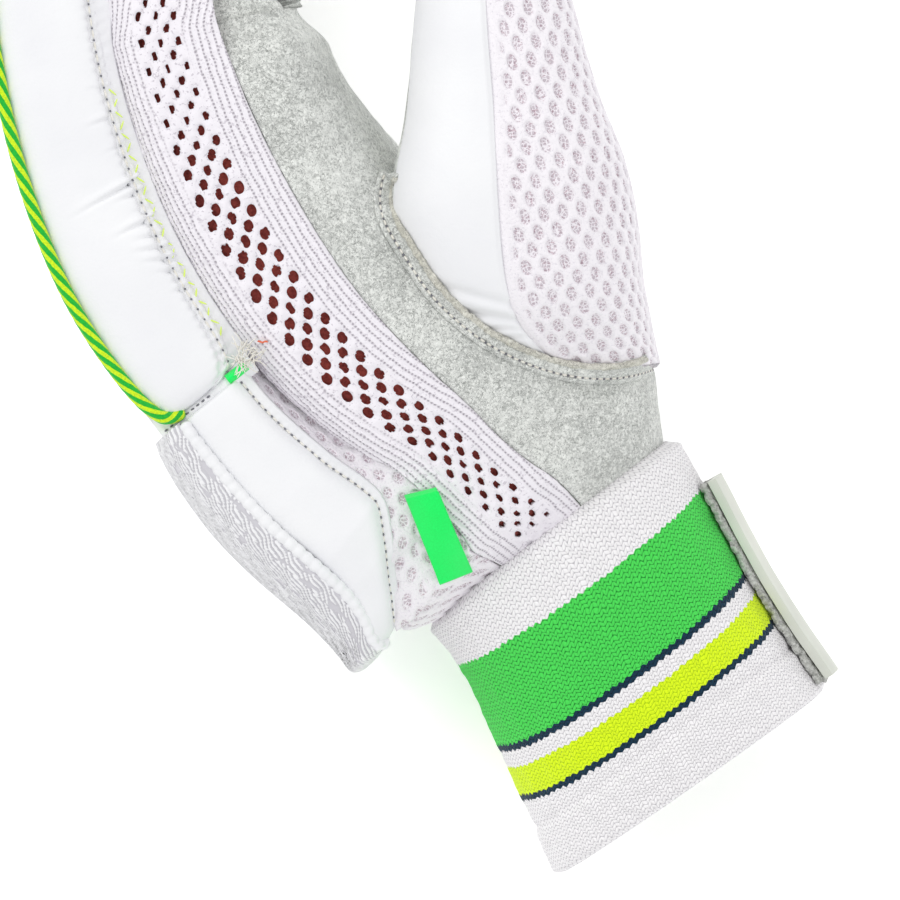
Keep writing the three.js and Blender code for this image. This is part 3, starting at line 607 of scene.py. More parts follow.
def smooth_path(points, count):
    """Evenly spaced places on a smooth line through a few points of the picture"""
    last = len(points) - 1
    fine = [Vector([smooth_row(points, i * last / 400, axis) for axis in (0, 1)]) for i in range(401)]
    runs = runs_of(fine)
    return [at_run(fine, runs, runs[-1] * i / count)[0] for i in range(count + 1)]


# ---------------------------------------------------------------------------
# Finishes

def new_finish(name, color, roughness, sheen=0.0, coat=0.0, specular=0.5):
    material = bpy.data.materials.new(name)
    material.use_nodes = True
    shader = material.node_tree.nodes["Principled BSDF"]
    shader.inputs["Base Color"].default_value = (*color, 1)
    shader.inputs["Roughness"].default_value = roughness
    shader.inputs["Sheen Weight"].default_value = sheen
    shader.inputs["Sheen Roughness"].default_value = 0.6
    shader.inputs["Coat Weight"].default_value = coat
    shader.inputs["Coat Roughness"].default_value = 0.4
    shader.inputs["Specular IOR Level"].default_value = specular
    return material, material.node_tree, shader


def add(tree, kind, inputs=None, **settings):
    node = tree.nodes.new("ShaderNode" + kind)
    for key, value in settings.items():
        setattr(node, key, value)
    for key, value in (inputs or {}).items():
        if isinstance(value, bpy.types.NodeSocket):
            tree.links.new(value, node.inputs[key])
        else:
            node.inputs[key].default_value = value
    return node


def calc(tree, operation, first, second=0.0, third=0.0):
    return add(tree, "Math", {0: first, 1: second, 2: third}, operation=operation).outputs[0]


def ramp(tree, factor, *stops):
    node = add(tree, "ValToRGB", {"Fac": factor})
    band = node.color_ramp
    while len(band.elements) < len(stops):
        band.elements.new(0.5)
    for element, (position, color) in zip(band.elements, stops):
        element.position = position
        element.color = (*color, 1)
    return node.outputs["Color"]


def grey(value):
    return (value, value, value)


def mix_colors(tree, factor, first, second, blend_type="MIX"):
    node = tree.nodes.new("ShaderNodeMix")
    node.data_type = "RGBA"
    node.blend_type = blend_type
    for index, value in ((0, factor), (6, first), (7, second)):
        if isinstance(value, bpy.types.NodeSocket):
            tree.links.new(value, node.inputs[index])
        else:
            node.inputs[index].default_value = value if index == 0 else (*value, 1)
    return node.outputs[2]


def object_place(tree):
    return add(tree, "TexCoord").outputs["Object"]


def map_place(tree):
    split = add(tree, "SeparateXYZ", {0: add(tree, "TexCoord").outputs["UV"]})
    return split.outputs[0], split.outputs[1]


def grain(tree, place, scale, detail=2.0, roughness=0.5, distortion=0.0):
    return add(tree, "TexNoise", {"Vector": place, "Scale": scale, "Detail": detail, "Roughness": roughness,
                                  "Distortion": distortion}).outputs["Fac"]


def bump(tree, shader, height, depth, strength=1.0, under=None):
    inputs = {"Height": height, "Distance": depth / 1000, "Strength": strength}
    if under is not None:
        inputs["Normal"] = under
    node = add(tree, "Bump", inputs)
    tree.links.new(node.outputs["Normal"], shader.inputs["Normal"])
    return node.outputs["Normal"]


def paint(tree, shader, color):
    tree.links.new(color, shader.inputs["Base Color"])


def leather_finish(name, color, shade, roughness=0.46):
    material, tree, shader = new_finish(name, color, roughness, coat=0.08, specular=0.4)
    place = object_place(tree)
    broad = grain(tree, place, 42, 3)
    paint(tree, shader, ramp(tree, broad, (0.3, shade), (0.7, color)))
    pores = add(tree, "TexVoronoi", {"Vector": place, "Scale": 1300, "Randomness": 1.0}).outputs["Distance"]
    fine = grain(tree, place, 2600, 4)
    creases = grain(tree, place, 160, 5, 0.6, 0.8)
    first = bump(tree, shader, pores, 0.03)
    second = bump(tree, shader, fine, 0.02, under=first)
    bump(tree, shader, creases, 0.14, under=second)
    rough = add(tree, "MapRange", {"Value": creases, "To Min": roughness - 0.06, "To Max": roughness + 0.1})
    tree.links.new(rough.outputs[0], shader.inputs["Roughness"])
    return material


def embossed_finish(name, ridge, valley):
    """Embossed leather: the pattern attribute is 1 on the ridges; the valleys between them are painted
    darker, as painted shade
    """
    material, tree, shader = new_finish(name, ridge, 0.5, coat=0.05, specular=0.4)
    place = object_place(tree)
    raised = add(tree, "Attribute", attribute_name="pattern").outputs["Fac"]
    uneven = calc(tree, "SUBTRACT", grain(tree, place, 700, 3), 0.5)
    valley_shade_and_tone = calc(tree, "ADD", raised, calc(tree, "MULTIPLY", uneven, 0.5))
    # painted shade: the valley colour goes where the pattern is low, mixed with a random unevenness
    paint(tree, shader, ramp(tree, valley_shade_and_tone, (0.30, valley), (0.62, ridge)))
    first = bump(tree, shader, grain(tree, place, 2400, 4), 0.03)
    bump(tree, shader, raised, 0.25, under=first)
    return material


def suede_finish(name, dark, light, speck):
    """Napped leather: cloudy tone, a coarse nap, and painted shade in dark flecks cast by fine curled fibres
    and in small hollows
    """
    material, tree, shader = new_finish(name, light, 0.95, sheen=0.2, specular=0.12)
    place = object_place(tree)
    broad = grain(tree, place, 55, 3)
    nap = grain(tree, place, 1150, 4, 0.85, 0.8)
    tone = calc(tree, "ADD", calc(tree, "MULTIPLY", broad, 0.25), calc(tree, "MULTIPLY", nap, 0.75))
    base = ramp(tree, tone, (0.44, dark), (0.53, light))
    curl = calc(tree, "ABSOLUTE", calc(tree, "SUBTRACT", grain(tree, place, 520, 3, 0.7, 1.5), 0.5))
    some = grain(tree, place, 380, 2)
    fibre = calc(tree, "MULTIPLY", calc(tree, "LESS_THAN", curl, 0.022),
                 calc(tree, "GREATER_THAN", some, 0.47))
    pit_shade = ramp(tree, grain(tree, place, 1700, 2, 0.8), (0.36, grey(1)), (0.42, grey(0)))
    # painted shade: the speck colour goes on the fibres' cast flecks and in the small hollows
    fibre_and_pit_shade = calc(tree, "MAXIMUM", calc(tree, "MULTIPLY", fibre, 0.55), calc(tree, "MULTIPLY", pit_shade, 0.6))
    paint(tree, shader, mix_colors(tree, fibre_and_pit_shade, base, speck))
    first = bump(tree, shader, nap, 0.5)
    bump(tree, shader, curl, 0.5, under=first)
    return material


def mesh_finish(name, yarn, mesh_hole_shade, thread):
    """Spacer mesh: open cells, given by the pattern attribute, over a finer net; painted shade darkens the
    cells' insides and the net's holes
    """
    material, tree, shader = new_finish(name, yarn, 0.8, sheen=0.2, specular=0.25)
    place = object_place(tree)
    cell = add(tree, "Attribute", attribute_name="pattern").outputs["Fac"]
    net = add(tree, "TexVoronoi", {"Vector": place, "Scale": 1150, "Randomness": 0.75},
              feature="DISTANCE_TO_EDGE").outputs["Distance"]
    holes = ramp(tree, net, (0.05, grey(0)), (0.16, grey(1)))
    # painted shade: the net's holes, and further on the open cells, take the darker colour
    floor = mix_colors(tree, holes, yarn, mesh_hole_shade)
    specks = ramp(tree, grain(tree, place, 1900, 2), (0.36, thread), (0.46, grey(1)))
    floor = mix_colors(tree, 0.7, floor, specks, "MULTIPLY")
    knit = grain(tree, place, 1500, 3, 0.7)
    top = ramp(tree, knit, (0.3, (yarn[0] * 0.8, yarn[1] * 0.79, yarn[2] * 0.82)), (0.45, yarn))
    inside = ramp(tree, cell, (0.35, grey(0)), (0.75, grey(1)))
    paint(tree, shader, mix_colors(tree, inside, top, floor))
    first = bump(tree, shader, knit, 0.12)
    bump(tree, shader, net, 0.3, 0.6, under=first)
    return material


def ribbed_finish(name, yarn, shadow):
    """Elastic knit: dotted rib lines run along it, where the pattern attribute is 1, and specks between"""
    material, tree, shader = new_finish(name, yarn, 0.85, sheen=0.2, specular=0.2)
    across, along = map_place(tree)
    place = object_place(tree)
    wander = calc(tree, "MULTIPLY", calc(tree, "SUBTRACT", grain(tree, place, 300, 2), 0.5), 0.5)
    rib = add(tree, "Attribute", attribute_name="pattern").outputs["Fac"]
    column = calc(tree, "FRACT", calc(tree, "ADD", calc(tree, "DIVIDE", across, 1.7), wander))
    off_line = calc(tree, "ABSOLUTE", calc(tree, "SUBTRACT", column, 0.5))
    line = ramp(tree, off_line, (0.06, grey(1)), (0.17, grey(0)))
    bead = calc(tree, "ABSOLUTE", calc(tree, "SUBTRACT", calc(tree, "FRACT", calc(tree, "ADD", calc(
        tree, "DIVIDE", along, 0.95), calc(tree, "MULTIPLY", wander, 2.0))), 0.5))
    dots = ramp(tree, bead, (0.12, grey(1)), (0.34, grey(0.25)))
    ribs = calc(tree, "MULTIPLY", calc(tree, "MULTIPLY", line, dots), rib)
    fuzz = grain(tree, place, 1500, 4, 0.75)
    specks = ramp(tree, grain(tree, place, 1150, 2, 0.6), (0.34, grey(1)), (0.41, grey(0)))
    dark = calc(tree, "MAXIMUM", calc(tree, "MULTIPLY", ribs, 0.8), calc(tree, "MULTIPLY", specks, 0.45))
    paint(tree, shader, mix_colors(tree, dark, yarn, shadow))
    first = bump(tree, shader, calc(tree, "SUBTRACT", 1.0, ribs), 0.25)
    bump(tree, shader, fuzz, 0.25, under=first)
    return material


def towelling_finish(name, stripes):
    """Striped looped knit: stripes lists the distance where a colour starts, its loops and its gaps, whose
    darker colour is painted shade between the loops
    """
    material, tree, shader = new_finish(name, stripes[0][1], 0.92, sheen=0.1, specular=0.12)
    across, along = map_place(tree)
    place = object_place(tree)
    wander = calc(tree, "MULTIPLY", calc(tree, "SUBTRACT", grain(tree, place, 330, 2), 0.5), 0.9)
    column = calc(tree, "ADD", calc(tree, "DIVIDE", across, 1.7), wander)
    leg = calc(tree, "SUBTRACT", calc(tree, "FRACT", column), 0.5)
    slant = calc(tree, "MULTIPLY", calc(tree, "ABSOLUTE", leg), 1.2)
    row = calc(tree, "ADD", calc(tree, "ADD", calc(tree, "DIVIDE", along, 1.05), slant), wander)
    across_leg = calc(tree, "COSINE", calc(tree, "MULTIPLY", calc(
        tree, "SUBTRACT", calc(tree, "ABSOLUTE", leg), 0.25), 2 * math.pi))
    along_leg = calc(tree, "ABSOLUTE", calc(tree, "COSINE", calc(tree, "MULTIPLY", row, math.pi)))
    fuzz = grain(tree, place, 1500, 4, 0.75)
    leg_height = calc(tree, "POWER", calc(tree, "MAXIMUM", across_leg, 0.001), 0.5)
    loop = calc(tree, "MULTIPLY", leg_height, along_leg)
    loop = calc(tree, "MULTIPLY", loop, calc(tree, "ADD", calc(tree, "MULTIPLY", fuzz, 1.3), 0.35))
    jag = calc(tree, "MULTIPLY", calc(tree, "PINGPONG", calc(tree, "ADD", across, wander), 1.05), 0.6)
    where = calc(tree, "ADD", calc(tree, "ADD", along, jag), calc(tree, "MULTIPLY", wander, 1.3))
    loops, gaps = stripes[0][1:]
    for start, loop_color, gap_shade_color in stripes[1:]:
        inside = calc(tree, "GREATER_THAN", where, start)
        loops = mix_colors(tree, inside, loops, loop_color)
        gaps = mix_colors(tree, inside, gaps, gap_shade_color)
    # painted shade: the gap colour shows where the loops are low, between them
    paint(tree, shader, mix_colors(tree, ramp(tree, loop, (0.03, grey(0)), (0.3, grey(1))), gaps, loops))
    first = bump(tree, shader, loop, 0.17)
    bump(tree, shader, fuzz, 0.05, under=first)
    return material


def plain_knit_finish(name, light, dark, scale=1500, depth=0.2, roughness=0.9):
    material, tree, shader = new_finish(name, light, roughness, sheen=0.2, specular=0.2)
    place = object_place(tree)
    fuzz = grain(tree, place, scale, 5, 0.7)
    broad = grain(tree, place, 90, 2)
    tone = calc(tree, "ADD", calc(tree, "MULTIPLY", fuzz, 0.75), calc(tree, "MULTIPLY", broad, 0.25))
    paint(tree, shader, ramp(tree, tone, (0.38, dark), (0.6, light)))
    bump(tree, shader, fuzz, depth)
    return material


def cord_finish(name, green, lime):
    material, tree, shader = new_finish(name, green, 0.7, sheen=0.2, specular=0.3)
    strand = add(tree, "Attribute", attribute_name="strand").outputs["Fac"]
    place = object_place(tree)
    fray = calc(tree, "MULTIPLY", calc(tree, "SUBTRACT", grain(tree, place, 900, 3), 0.5), 0.9)
    choice = calc(tree, "GREATER_THAN", calc(tree, "ADD", strand, fray), 0.12)
    fibre = grain(tree, place, 2400, 3)
    tone = ramp(tree, fibre, (0.3, grey(0.72)), (0.6, grey(1)))
    paint(tree, shader, mix_colors(tree, 1.0, mix_colors(tree, choice, green, lime), tone, "MULTIPLY"))
    bump(tree, shader, fibre, 0.15)
    return material


leather = leather_finish("white_leather", (0.88, 0.885, 0.90), (0.83, 0.835, 0.86))
# embossed leather: the second colour is painted shade in the valleys between the ridges
embossed = embossed_finish("embossed_leather", (0.90, 0.90, 0.92), (0.60, 0.59, 0.63))
# both suedes: the last colour is painted shade, in the fibres' cast flecks and in small hollows
suede = suede_finish("light_grey_suede", (0.62, 0.64, 0.61), (0.97, 0.99, 0.95), (0.17, 0.18, 0.17))
raw_suede = suede_finish("raw_suede_edge", (0.66, 0.65, 0.56), (0.90, 0.89, 0.80), (0.30, 0.29, 0.26))
# spacer mesh: the second colour is painted shade in the open cells and the net's holes
spacer = mesh_finish("spacer_mesh", (0.90, 0.87, 0.91), (0.60, 0.54, 0.59), (0.56, 0.38, 0.43))
elastic = ribbed_finish("white_elastic", (0.91, 0.88, 0.93), (0.40, 0.35, 0.42))
lining = plain_knit_finish("dark_red_knit", (0.46, 0.085, 0.065), (0.22, 0.035, 0.03), 1100, 0.3)
# towelling: each stripe's second colour is painted shade in the gaps between its loops
WHITE_LOOPS = ((0.95, 0.935, 0.95), (0.44, 0.42, 0.45))
NAVY_LOOPS = ((0.006, 0.035, 0.07), (0.001, 0.006, 0.012))
towelling = towelling_finish("striped_towelling", [
    (0.0, *WHITE_LOOPS), (13.9, (0.075, 0.74, 0.10), (0.0, 0.12, 0.012)), (35.5, *NAVY_LOOPS),
    (37.2, *WHITE_LOOPS), (41.3, (0.76, 1.0, 0.012), (0.32, 0.52, 0.0)), (48.7, *NAVY_LOOPS),
    (50.3, *WHITE_LOOPS)])
green_tape = plain_knit_finish("green_satin_tape", (0.0, 0.92, 0.14), (0.0, 0.84, 0.11), 2600, 0.03, 0.42)
cord = cord_finish("twisted_cord", (0.0, 0.50, 0.03), (0.66, 0.92, 0.0))
strap = leather_finish("coated_strap", (0.68, 0.70, 0.63), (0.58, 0.60, 0.54), 0.5)
pile = plain_knit_finish("fuzzy_pile", (0.78, 0.79, 0.75), (0.34, 0.35, 0.32), 1300, 0.8)
thread = plain_knit_finish("cream_thread", (0.90, 0.88, 0.82), (0.74, 0.71, 0.64), 3000, 0.05)
# dark grey: real thread in some stitches, and painted shade where it fills needle holes
grey_thread_and_hole_shade = plain_knit_finish("grey_thread_and_hole_shade", (0.22, 0.22, 0.25), (0.12, 0.12, 0.14), 3000, 0.05)
lime_thread = plain_knit_finish("lime_thread", (0.80, 0.98, 0.22), (0.68, 0.88, 0.12), 3000, 0.05)
orange_thread = plain_knit_finish("orange_thread", (0.85, 0.20, 0.10), (0.6, 0.12, 0.07), 3000, 0.05)


# ---------------------------------------------------------------------------
# Wristband

def cuff_row(v):
    ring = cuff_ring(v * (len(CUFF_ROWS) - 1))
    return lambda u, lift: ring(2 * math.pi * (u - 0.5) + math.pi / 2, lift)


def towel_relief(spot):
    """A soft unevenness, the rim that closes on the hand, and the fold of the hem"""
    uneven = 0.5 * soft_noise(spot, 14, 3.1) + 0.3 * soft_noise(spot, 2.8, 8)
    hem = 0.6 * ease((spot.along - 57) / 2.5) - 0.4 * math.exp(-((spot.along - 57) / 0.9) ** 2)
    rim = 3.3 * ease((3.4 - spot.along) / 3.6) ** 1.4
    end = 1.2 * ease((1.6 - spot.ahead) / 1.6)
    return uneven + hem - rim - end


SAG, HEM_SAG, HALF_SIDE = 3.4, 1.7, 46


def make_wristband():
    band = patch("wristband", 400, 110, cuff_row, towel_relief, closed=True)
    # the knit's rows sag towards the middle of each side
    for loop in band.data.uv_layers[0].data:
        across, down = loop.uv
        sag = SAG * math.sin(math.pi * clamp(down / CUFF_LENGTH)) ** 0.8 + HEM_SAG * down / CUFF_LENGTH
        loop.uv = (across, down - sag * (1 - clamp(abs(across) / HALF_SIDE) ** 2))
    thicken(band, CUFF_WALL - 0.6)
    finished(band, towelling, "towelling", "cuff")


# the strap's rows along the wristband, and its degrees round the palm side
STRAP_FROM, STRAP_TO, STRAP_LOW, STRAP_HIGH = 0.92, 3.99, -62, 20
PILE_WALL, STRAP_WALL, STRAP_BEVEL = 1.8, 2.2, 0.8


def strap_row(lift_from):
    def row(v):
        ring = cuff_ring(mix(STRAP_FROM, STRAP_TO, v))
        return lambda u, lift: ring(math.radians(mix(STRAP_LOW, STRAP_HIGH, u)), lift_from + lift)
    return row


def make_closure():
    def fuzzy(spot):
        return 0.4 * soft_noise(spot, 1.3, 5) + 0.25 * soft_noise(spot, 0.5, 1)

    def edges(spot):
        return 0.12 * soft_noise(spot, 9, 2)
    under = patch("closure_fuzz", 120, 130, strap_row(SOFT_GAP + PILE_WALL), fuzzy)
    thicken(under, PILE_WALL)
    finished(under, pile, "pile", "closure_pile")
    over = patch("closure_tab", 70, 70, strap_row(SOFT_GAP + PILE_WALL + GAP + 2.4), edges)
    thicken(over, STRAP_WALL)
    modify(over, "BEVEL", width=STRAP_BEVEL / 1000, segments=3,
           limit_method="ANGLE", angle_limit=math.radians(50))
    finished(over, strap, "strap", "closure_strap")


# ---------------------------------------------------------------------------
# Hand

def skin_row(start_angle, end_angle, start_place=-1.0, end_place=HAND_END):
    def row(v):
        section = hand_section(mix(start_place, end_place, v))
        squares = section["square_back"], section["square_palm"]
        first, last = (swapped(angle(section), *squares, True) for angle in (start_angle, end_angle))
        return lambda u, lift: hand_point(section, swapped(mix(first, last, u), *squares, False), lift)
    return row


def cell_mask(across_pitch, along_pitch, half_across, half_along):
    """1 in the middle of each open cell of the mesh, and 0 on the yarn between"""
    def mask(spot):
        row = round(spot.along / along_pitch)
        best = 0.0
        for near in (row - 1, row, row + 1):
            shift = 0.5 * (near % 2)
            column = round(spot.across / across_pitch - shift) + shift
            x = (spot.across - column * across_pitch) / half_across
            y = (spot.along - near * along_pitch) / half_along
            best = max(best, ease((1.25 - math.sqrt(x * x + y * y)) / 0.5))
        return best
    return mask


BULGE_MIDDLE, BULGE_PUSH, BULGE_SPREAD = Vector((-101.2, -166.5)), Vector((-1.6, -4.4, 0.8)), 10


def bulged(piece):
    """The mesh bellies out over the wristband's corner, below the tab"""
    for vertex in piece.data.vertices:
        place = vertex.co * 1000 - CENTRE
        near = math.exp(-((place.xy - BULGE_MIDDLE).length / BULGE_SPREAD) ** 2) * ease((place.z - 25) / 30)
        vertex.co += BULGE_PUSH * near / 1000


def make_hand():
    def palm_start(section):
        return hand_angle(section, section["band_palm"] + SEAM_GAP * 0.05)

    def suede_relief(spot):
        tucked = 4.2 * ease((9 - spot.ahead) / 9)
        folds = noise.noise(Vector((spot.across / 9, spot.along / 40, 5)))
        folds *= 0.8 * ease((70 - spot.ahead) / 60)
        return 0.5 * soft_noise(spot, 27, 1) + 0.2 * soft_noise(spot, 4, 7) + folds - tucked
    palm = patch("suede_palm", 200, 200, skin_row(palm_start, lambda section: 2 * math.pi + LITTLE_CORNER),
                 suede_relief)
    cells = cell_mask(4.6, 4.1, 1.15, 1.9)

    def back_end(section):
        return hand_angle(section, max(section["band_back"] - SEAM_GAP * 0.2, 0.002))

    def net_relief(spot):
        return 0.3 * soft_noise(spot, 12, 4) - 0.8 * cells(spot)
    back = patch("back_spacer_mesh", 158, 300,
                 skin_row(lambda section: LITTLE_CORNER + 2 * SEAM_GAP, back_end),
                 net_relief, mask=cells)
    bulged(back)
    return palm, back


# ---------------------------------------------------------------------------
# Index-side band

BAND_START = -0.08
HOLE_PITCH, HOLE_STEP, HOLE_SHIFT = 6.25, 0.083, 0.45
HOLE_COLUMNS = 5
BAND_WIDE = 30
BAND_TRAVEL = []


def band_places():
    """Places along the band, spaced evenly by distance"""
    if not BAND_TRAVEL:
        count = 300
        spots = [mix(BAND_START, HAND_END + 1, i / count) for i in range(count + 1)]
        points = [band_row(spot)(0.5, 0) for spot in spots]
        run = 0.0
        BAND_TRAVEL.append((0.0, spots[0]))
        for i in range(1, count + 1):
            run += (points[i] - points[i - 1]).length
            BAND_TRAVEL.append((run, spots[i]))
    return BAND_TRAVEL


def band_place(run):
    table = band_places()
    for (run_a, spot_a), (run_b, spot_b) in zip(table, table[1:]):
        if run_b >= run:
            return mix(spot_a, spot_b, (run - run_a) / max(run_b - run_a, 1e-9))
    return table[-1][1]


def band_grid_row(v):
    total = band_places()[-1][0]
    return band_row(band_place(v * total))


def band_share_at(run):
    """The share across the band of its first column of holes, which moves a little along it"""
    total = band_places()[-1][0]
    return mix(0.37, 0.28, clamp(run / total * 1.3))


def hole_at(share, run):
    """The nearest hole: how far its middle is, in parts of the hole, and its share, run and half sizes"""
    best = (9.0, 0, 0, 1, 1)
    first = band_share_at(run)
    near_column = round((share - first) / HOLE_STEP)
    for column in (near_column - 1, near_column, near_column + 1):
        if not 0 <= column < HOLE_COLUMNS:
            continue
        row = round(run / HOLE_PITCH - column * HOLE_SHIFT)
        for here in (row - 1, row, row + 1):
            centre_run = (here + column * HOLE_SHIFT) * HOLE_PITCH
            jitter = noise.noise(Vector((here * 3.7, column * 5.1, 2)))
            ends = mix(1, 0.68, ease((centre_run - 112) / 30)) * mix(0.72, 1, ease((centre_run - 12) / 50))
            half = (1.26 + 0.18 * jitter - (0.2 if column == 2 else 0.0)) * ends
            long = (1.5 + 0.16 * jitter) * mix(1, ends, 0.8)
            middle = first + column * HOLE_STEP
            x = (share - middle) * BAND_WIDE / half
            y = (run - centre_run - 0.25 * x * half) / long
            far = math.sqrt(x * x + y * y)
            if far < best[0]:
                best = (far, middle, centre_run + 0.25 * x * half, half, long)
    return best


def make_band():
    total = band_places()[-1][0]

    def relief(spot):
        edge = ease((0.6 - spot.left) / 0.6) + ease((0.6 - spot.right) / 0.6)
        sink = 0.6 * ease((1.9 - hole_at(spot.share, spot.along)[0]) / 0.9)
        ribs = 0.14 * math.cos(2 * math.pi * spot.across / 1.7) * ribbed(spot)
        tucked = 5.0 * ease((8 - spot.ahead) / 8)
        return 0.45 - ribs - sink - 0.6 * edge + 0.22 * soft_noise(spot, 1.5, 3) - tucked

    def ribbed(spot):
        first = band_share_at(spot.along) - 0.045
        last = first + HOLE_STEP * (HOLE_COLUMNS - 1) + 0.09
        return max(ease((first - spot.share) / 0.03), ease((spot.share - last) / 0.03))

    def drawn_to_rim(spot):
        """Points near a hole's rim move onto it"""
        far, middle, centre = hole_at(spot.share, spot.along)[:3]
        if 0.78 < far < 1.22 and 4 < spot.along < total - 11:
            return (middle + (spot.share - middle) / far, (spot.along - centre) * (1 / far - 1))
        return spot.share, 0.0

    def open_hole(spot):
        return hole_at(spot.share, spot.along)[0] < 1.0 and 4 < spot.along < total - 11

    band = patch("elastic_band", 100, 500, band_grid_row, relief, mask=ribbed, warp=drawn_to_rim,
                 hollow=open_hole)
    modify(band, "SMOOTH", factor=0.4, iterations=1)
    thicken(band, 1.1)
    finished(band, elastic, "elastic", "index_gusset")

    def lining_row(v):
        line = band_grid_row(v * 0.94)
        return lambda u, lift: line(mix(0.08, 0.88, u), lift - 2.1)
    under = patch("red_lining", 60, 220, lining_row, lambda spot: 0.25 * soft_noise(spot, 1.6, 2))
    thicken(under, 1.0)
    finished(under, lining, "lining", "gusset_lining")
    return band


# ---------------------------------------------------------------------------
# Thumb

def thumb_row(start_angle, end_angle):
    """Lines round the thumb between two seams, each given in degrees at a share of the thumb's length"""
    def row(v):
        ring = thumb_ring(v * THUMB_END)
        shrink = math.sqrt(max(1 - clamp((v - 0.93) / 0.07) ** 2, 0.0)) if v > 0.93 else 1.0
        first, last = math.radians(start_angle(v)), math.radians(end_angle(v))
        return lambda u, lift: ring(mix(first, last, u), lift * shrink, max(shrink, 0.02))
    return row


def thumb_seam(v):
    """The seam between the mesh and the leather swings to the palm side at the thumb's root"""
    return 92.5 + 24 * max(1 - v / 0.36, 0) ** 2


THUMB_FOLDS = ((33, 0.55, 1.6, 2.2), (40, 0.6, 1.1, 1.8), (27, 0.35, 0.9, 1.6), (22, 0.2, 0.6, 1.4))


# metres: what lies this far under the palm, and this near to it, is left out of the thumb
HIDDEN_UNDER, HIDDEN_WITHIN = 0.0012, 0.03


def make_thumb(palm):
    cells = cell_mask(4.6, 4.07, 1.2, 1.95)

    def fade(spot):
        """Cells are pressed flat beside the seam with the leather"""
        return cells(spot) * ease((spot.right - 1.9) / 2.2)

    def net_relief(spot):
        return 0.35 * soft_noise(spot, 14, 6) - 0.8 * fade(spot) - 0.7 * ease((1.6 - spot.right) / 1.6)

    def leather_relief(spot):
        soft = 0.7 * noise.noise(Vector((spot.across / 16, spot.along / 40, 9)))
        fold = 0.0
        for centre, slope, depth, spread in THUMB_FOLDS:
            fold -= (depth * math.exp(-((spot.along - centre - slope * spot.across) / spread) ** 2)
                     * ease((46 - spot.along) / 12))
        edge = 0.7 * ease((1.4 - spot.left) / 1.4) + 0.5 * ease((1.6 - spot.right) / 1.6)
        return soft + fold - edge + 0.4
    net = patch("thumb_spacer_mesh", 140, 270, thumb_row(lambda v: -35, lambda v: thumb_seam(v) + 0.5),
                net_relief, mask=fade)
    face = patch("thumb_leather_panel", 100, 220, thumb_row(thumb_seam, lambda v: 165), leather_relief)
    inner = patch("thumb_suede_panel", 80, 120, thumb_row(lambda v: 164.5, lambda v: 325.5),
                  lambda spot: 0.3 * soft_noise(spot, 9, 3) - 0.2)
    skin = Skin([palm])
    for piece in (net, face, inner):
        sunk = {}
        for vertex in piece.data.vertices:
            spot, normal, _, distance = skin.tree.find_nearest(vertex.co)
            sunk[vertex.index] = (spot is not None and distance < HIDDEN_WITHIN
                                  and (vertex.co - spot).dot(normal) < -HIDDEN_UNDER)
        delete_faces(piece, lambda face_, sunk=sunk: all(sunk[i] for i in face_.vertices))
    outer = Skin([palm, net, face])
    for piece in (net, face, inner):
        thicken(piece, CLOTH_WALL)
    finished(net, spacer, "mesh", "thumb_mesh")
    finished(face, leather, "leather", "thumb_leather")
    finished(inner, suede, "suede", "thumb_palm")
    return outer


# ---------------------------------------------------------------------------
# Fingers, rolls and pads

def finger_row(number):
    last = len(FINGER_ROWS) - 1

    def row(v):
        section = finger_section(number, min(v / 0.96, 1) * last)
        cap = clamp((v - 0.96) / 0.04)
        shrink = math.sqrt(max(1 - cap ** 2, 0))
        along = section["along"] + cap * 0.02

        def point(u, lift):
            angle = swapped(2 * math.pi * u - math.pi, section["square"], section["square"], False)
            reach, half = section["reach"] + lift, section["half"] + lift
            x, z = rounded(angle, reach * shrink, reach * shrink, half * shrink,
                           section["square"], section["square"])
            return Vector((*on_bend(along, section["middle"] + x), section["height"] + z))
        return point
    return row


def roll_ring(number, along_place):
    read = {name: smooth_row(ROLL_ROWS, along_place, column) for name, column in ROLL.items()}
    out, top = hand_back(read["along"])
    inner = out + GAP + read["lift"] * ROLL_DEPTH
    outer = out + GAP + read["depth"] * ROLL_DEPTH
    room = top / len(FINGERS)
    under = SETTLE / 2 if number == len(FINGERS) - 1 else 0
    centre = room * (len(FINGERS) - number - 0.5) - under
    return read["along"], (inner + outer) / 2, (outer - inner) / 2, centre, read["girth"] * room / 2 + under


ROLL_SQUARE, TIP_SQUARE, PAD_SQUARE = 4.4, 3.4, 6.0


def roll_row(number):
    last = len(ROLL_ROWS) - 1

    def row(v):
        along, middle, reach, centre, half = roll_ring(number, v * last)
        shrink = drawn_in(v, 0.02, 0.015)

        def point(u, lift):
            angle = swapped(2 * math.pi * u - math.pi, ROLL_SQUARE, ROLL_SQUARE, False)
            wide = (reach + lift) * shrink
            x, z = rounded(angle, wide, wide, (half + lift) * shrink, ROLL_SQUARE, ROLL_SQUARE)
            return Vector((*on_bend(along, middle + x), max(centre + z, 0.02)))
        return point
    return row


ROLL_CREASES = (
    (66.0, 20.0, -0.14, 1.0), (62.8, 8.0, 0.0, 0.7), (58.5, 5.0, 0.1, 0.5), (55.3, 12.0, -0.05, 0.9),
    (50.8, 7.0, 0.2, 0.7), (47.2, 9.0, 0.3, 0.8), (43.8, 8.0, 0.35, 0.8), (40.2, 6.0, 0.4, 0.6),
    (35.0, 5.0, 0.2, 0.4), (76.0, 6.0, -0.1, 0.5), (84.0, 9.0, -0.1, 0.7), (92.0, 6.0, 0.1, 0.5),
)
ROLL_SEAM_AT = 11.0


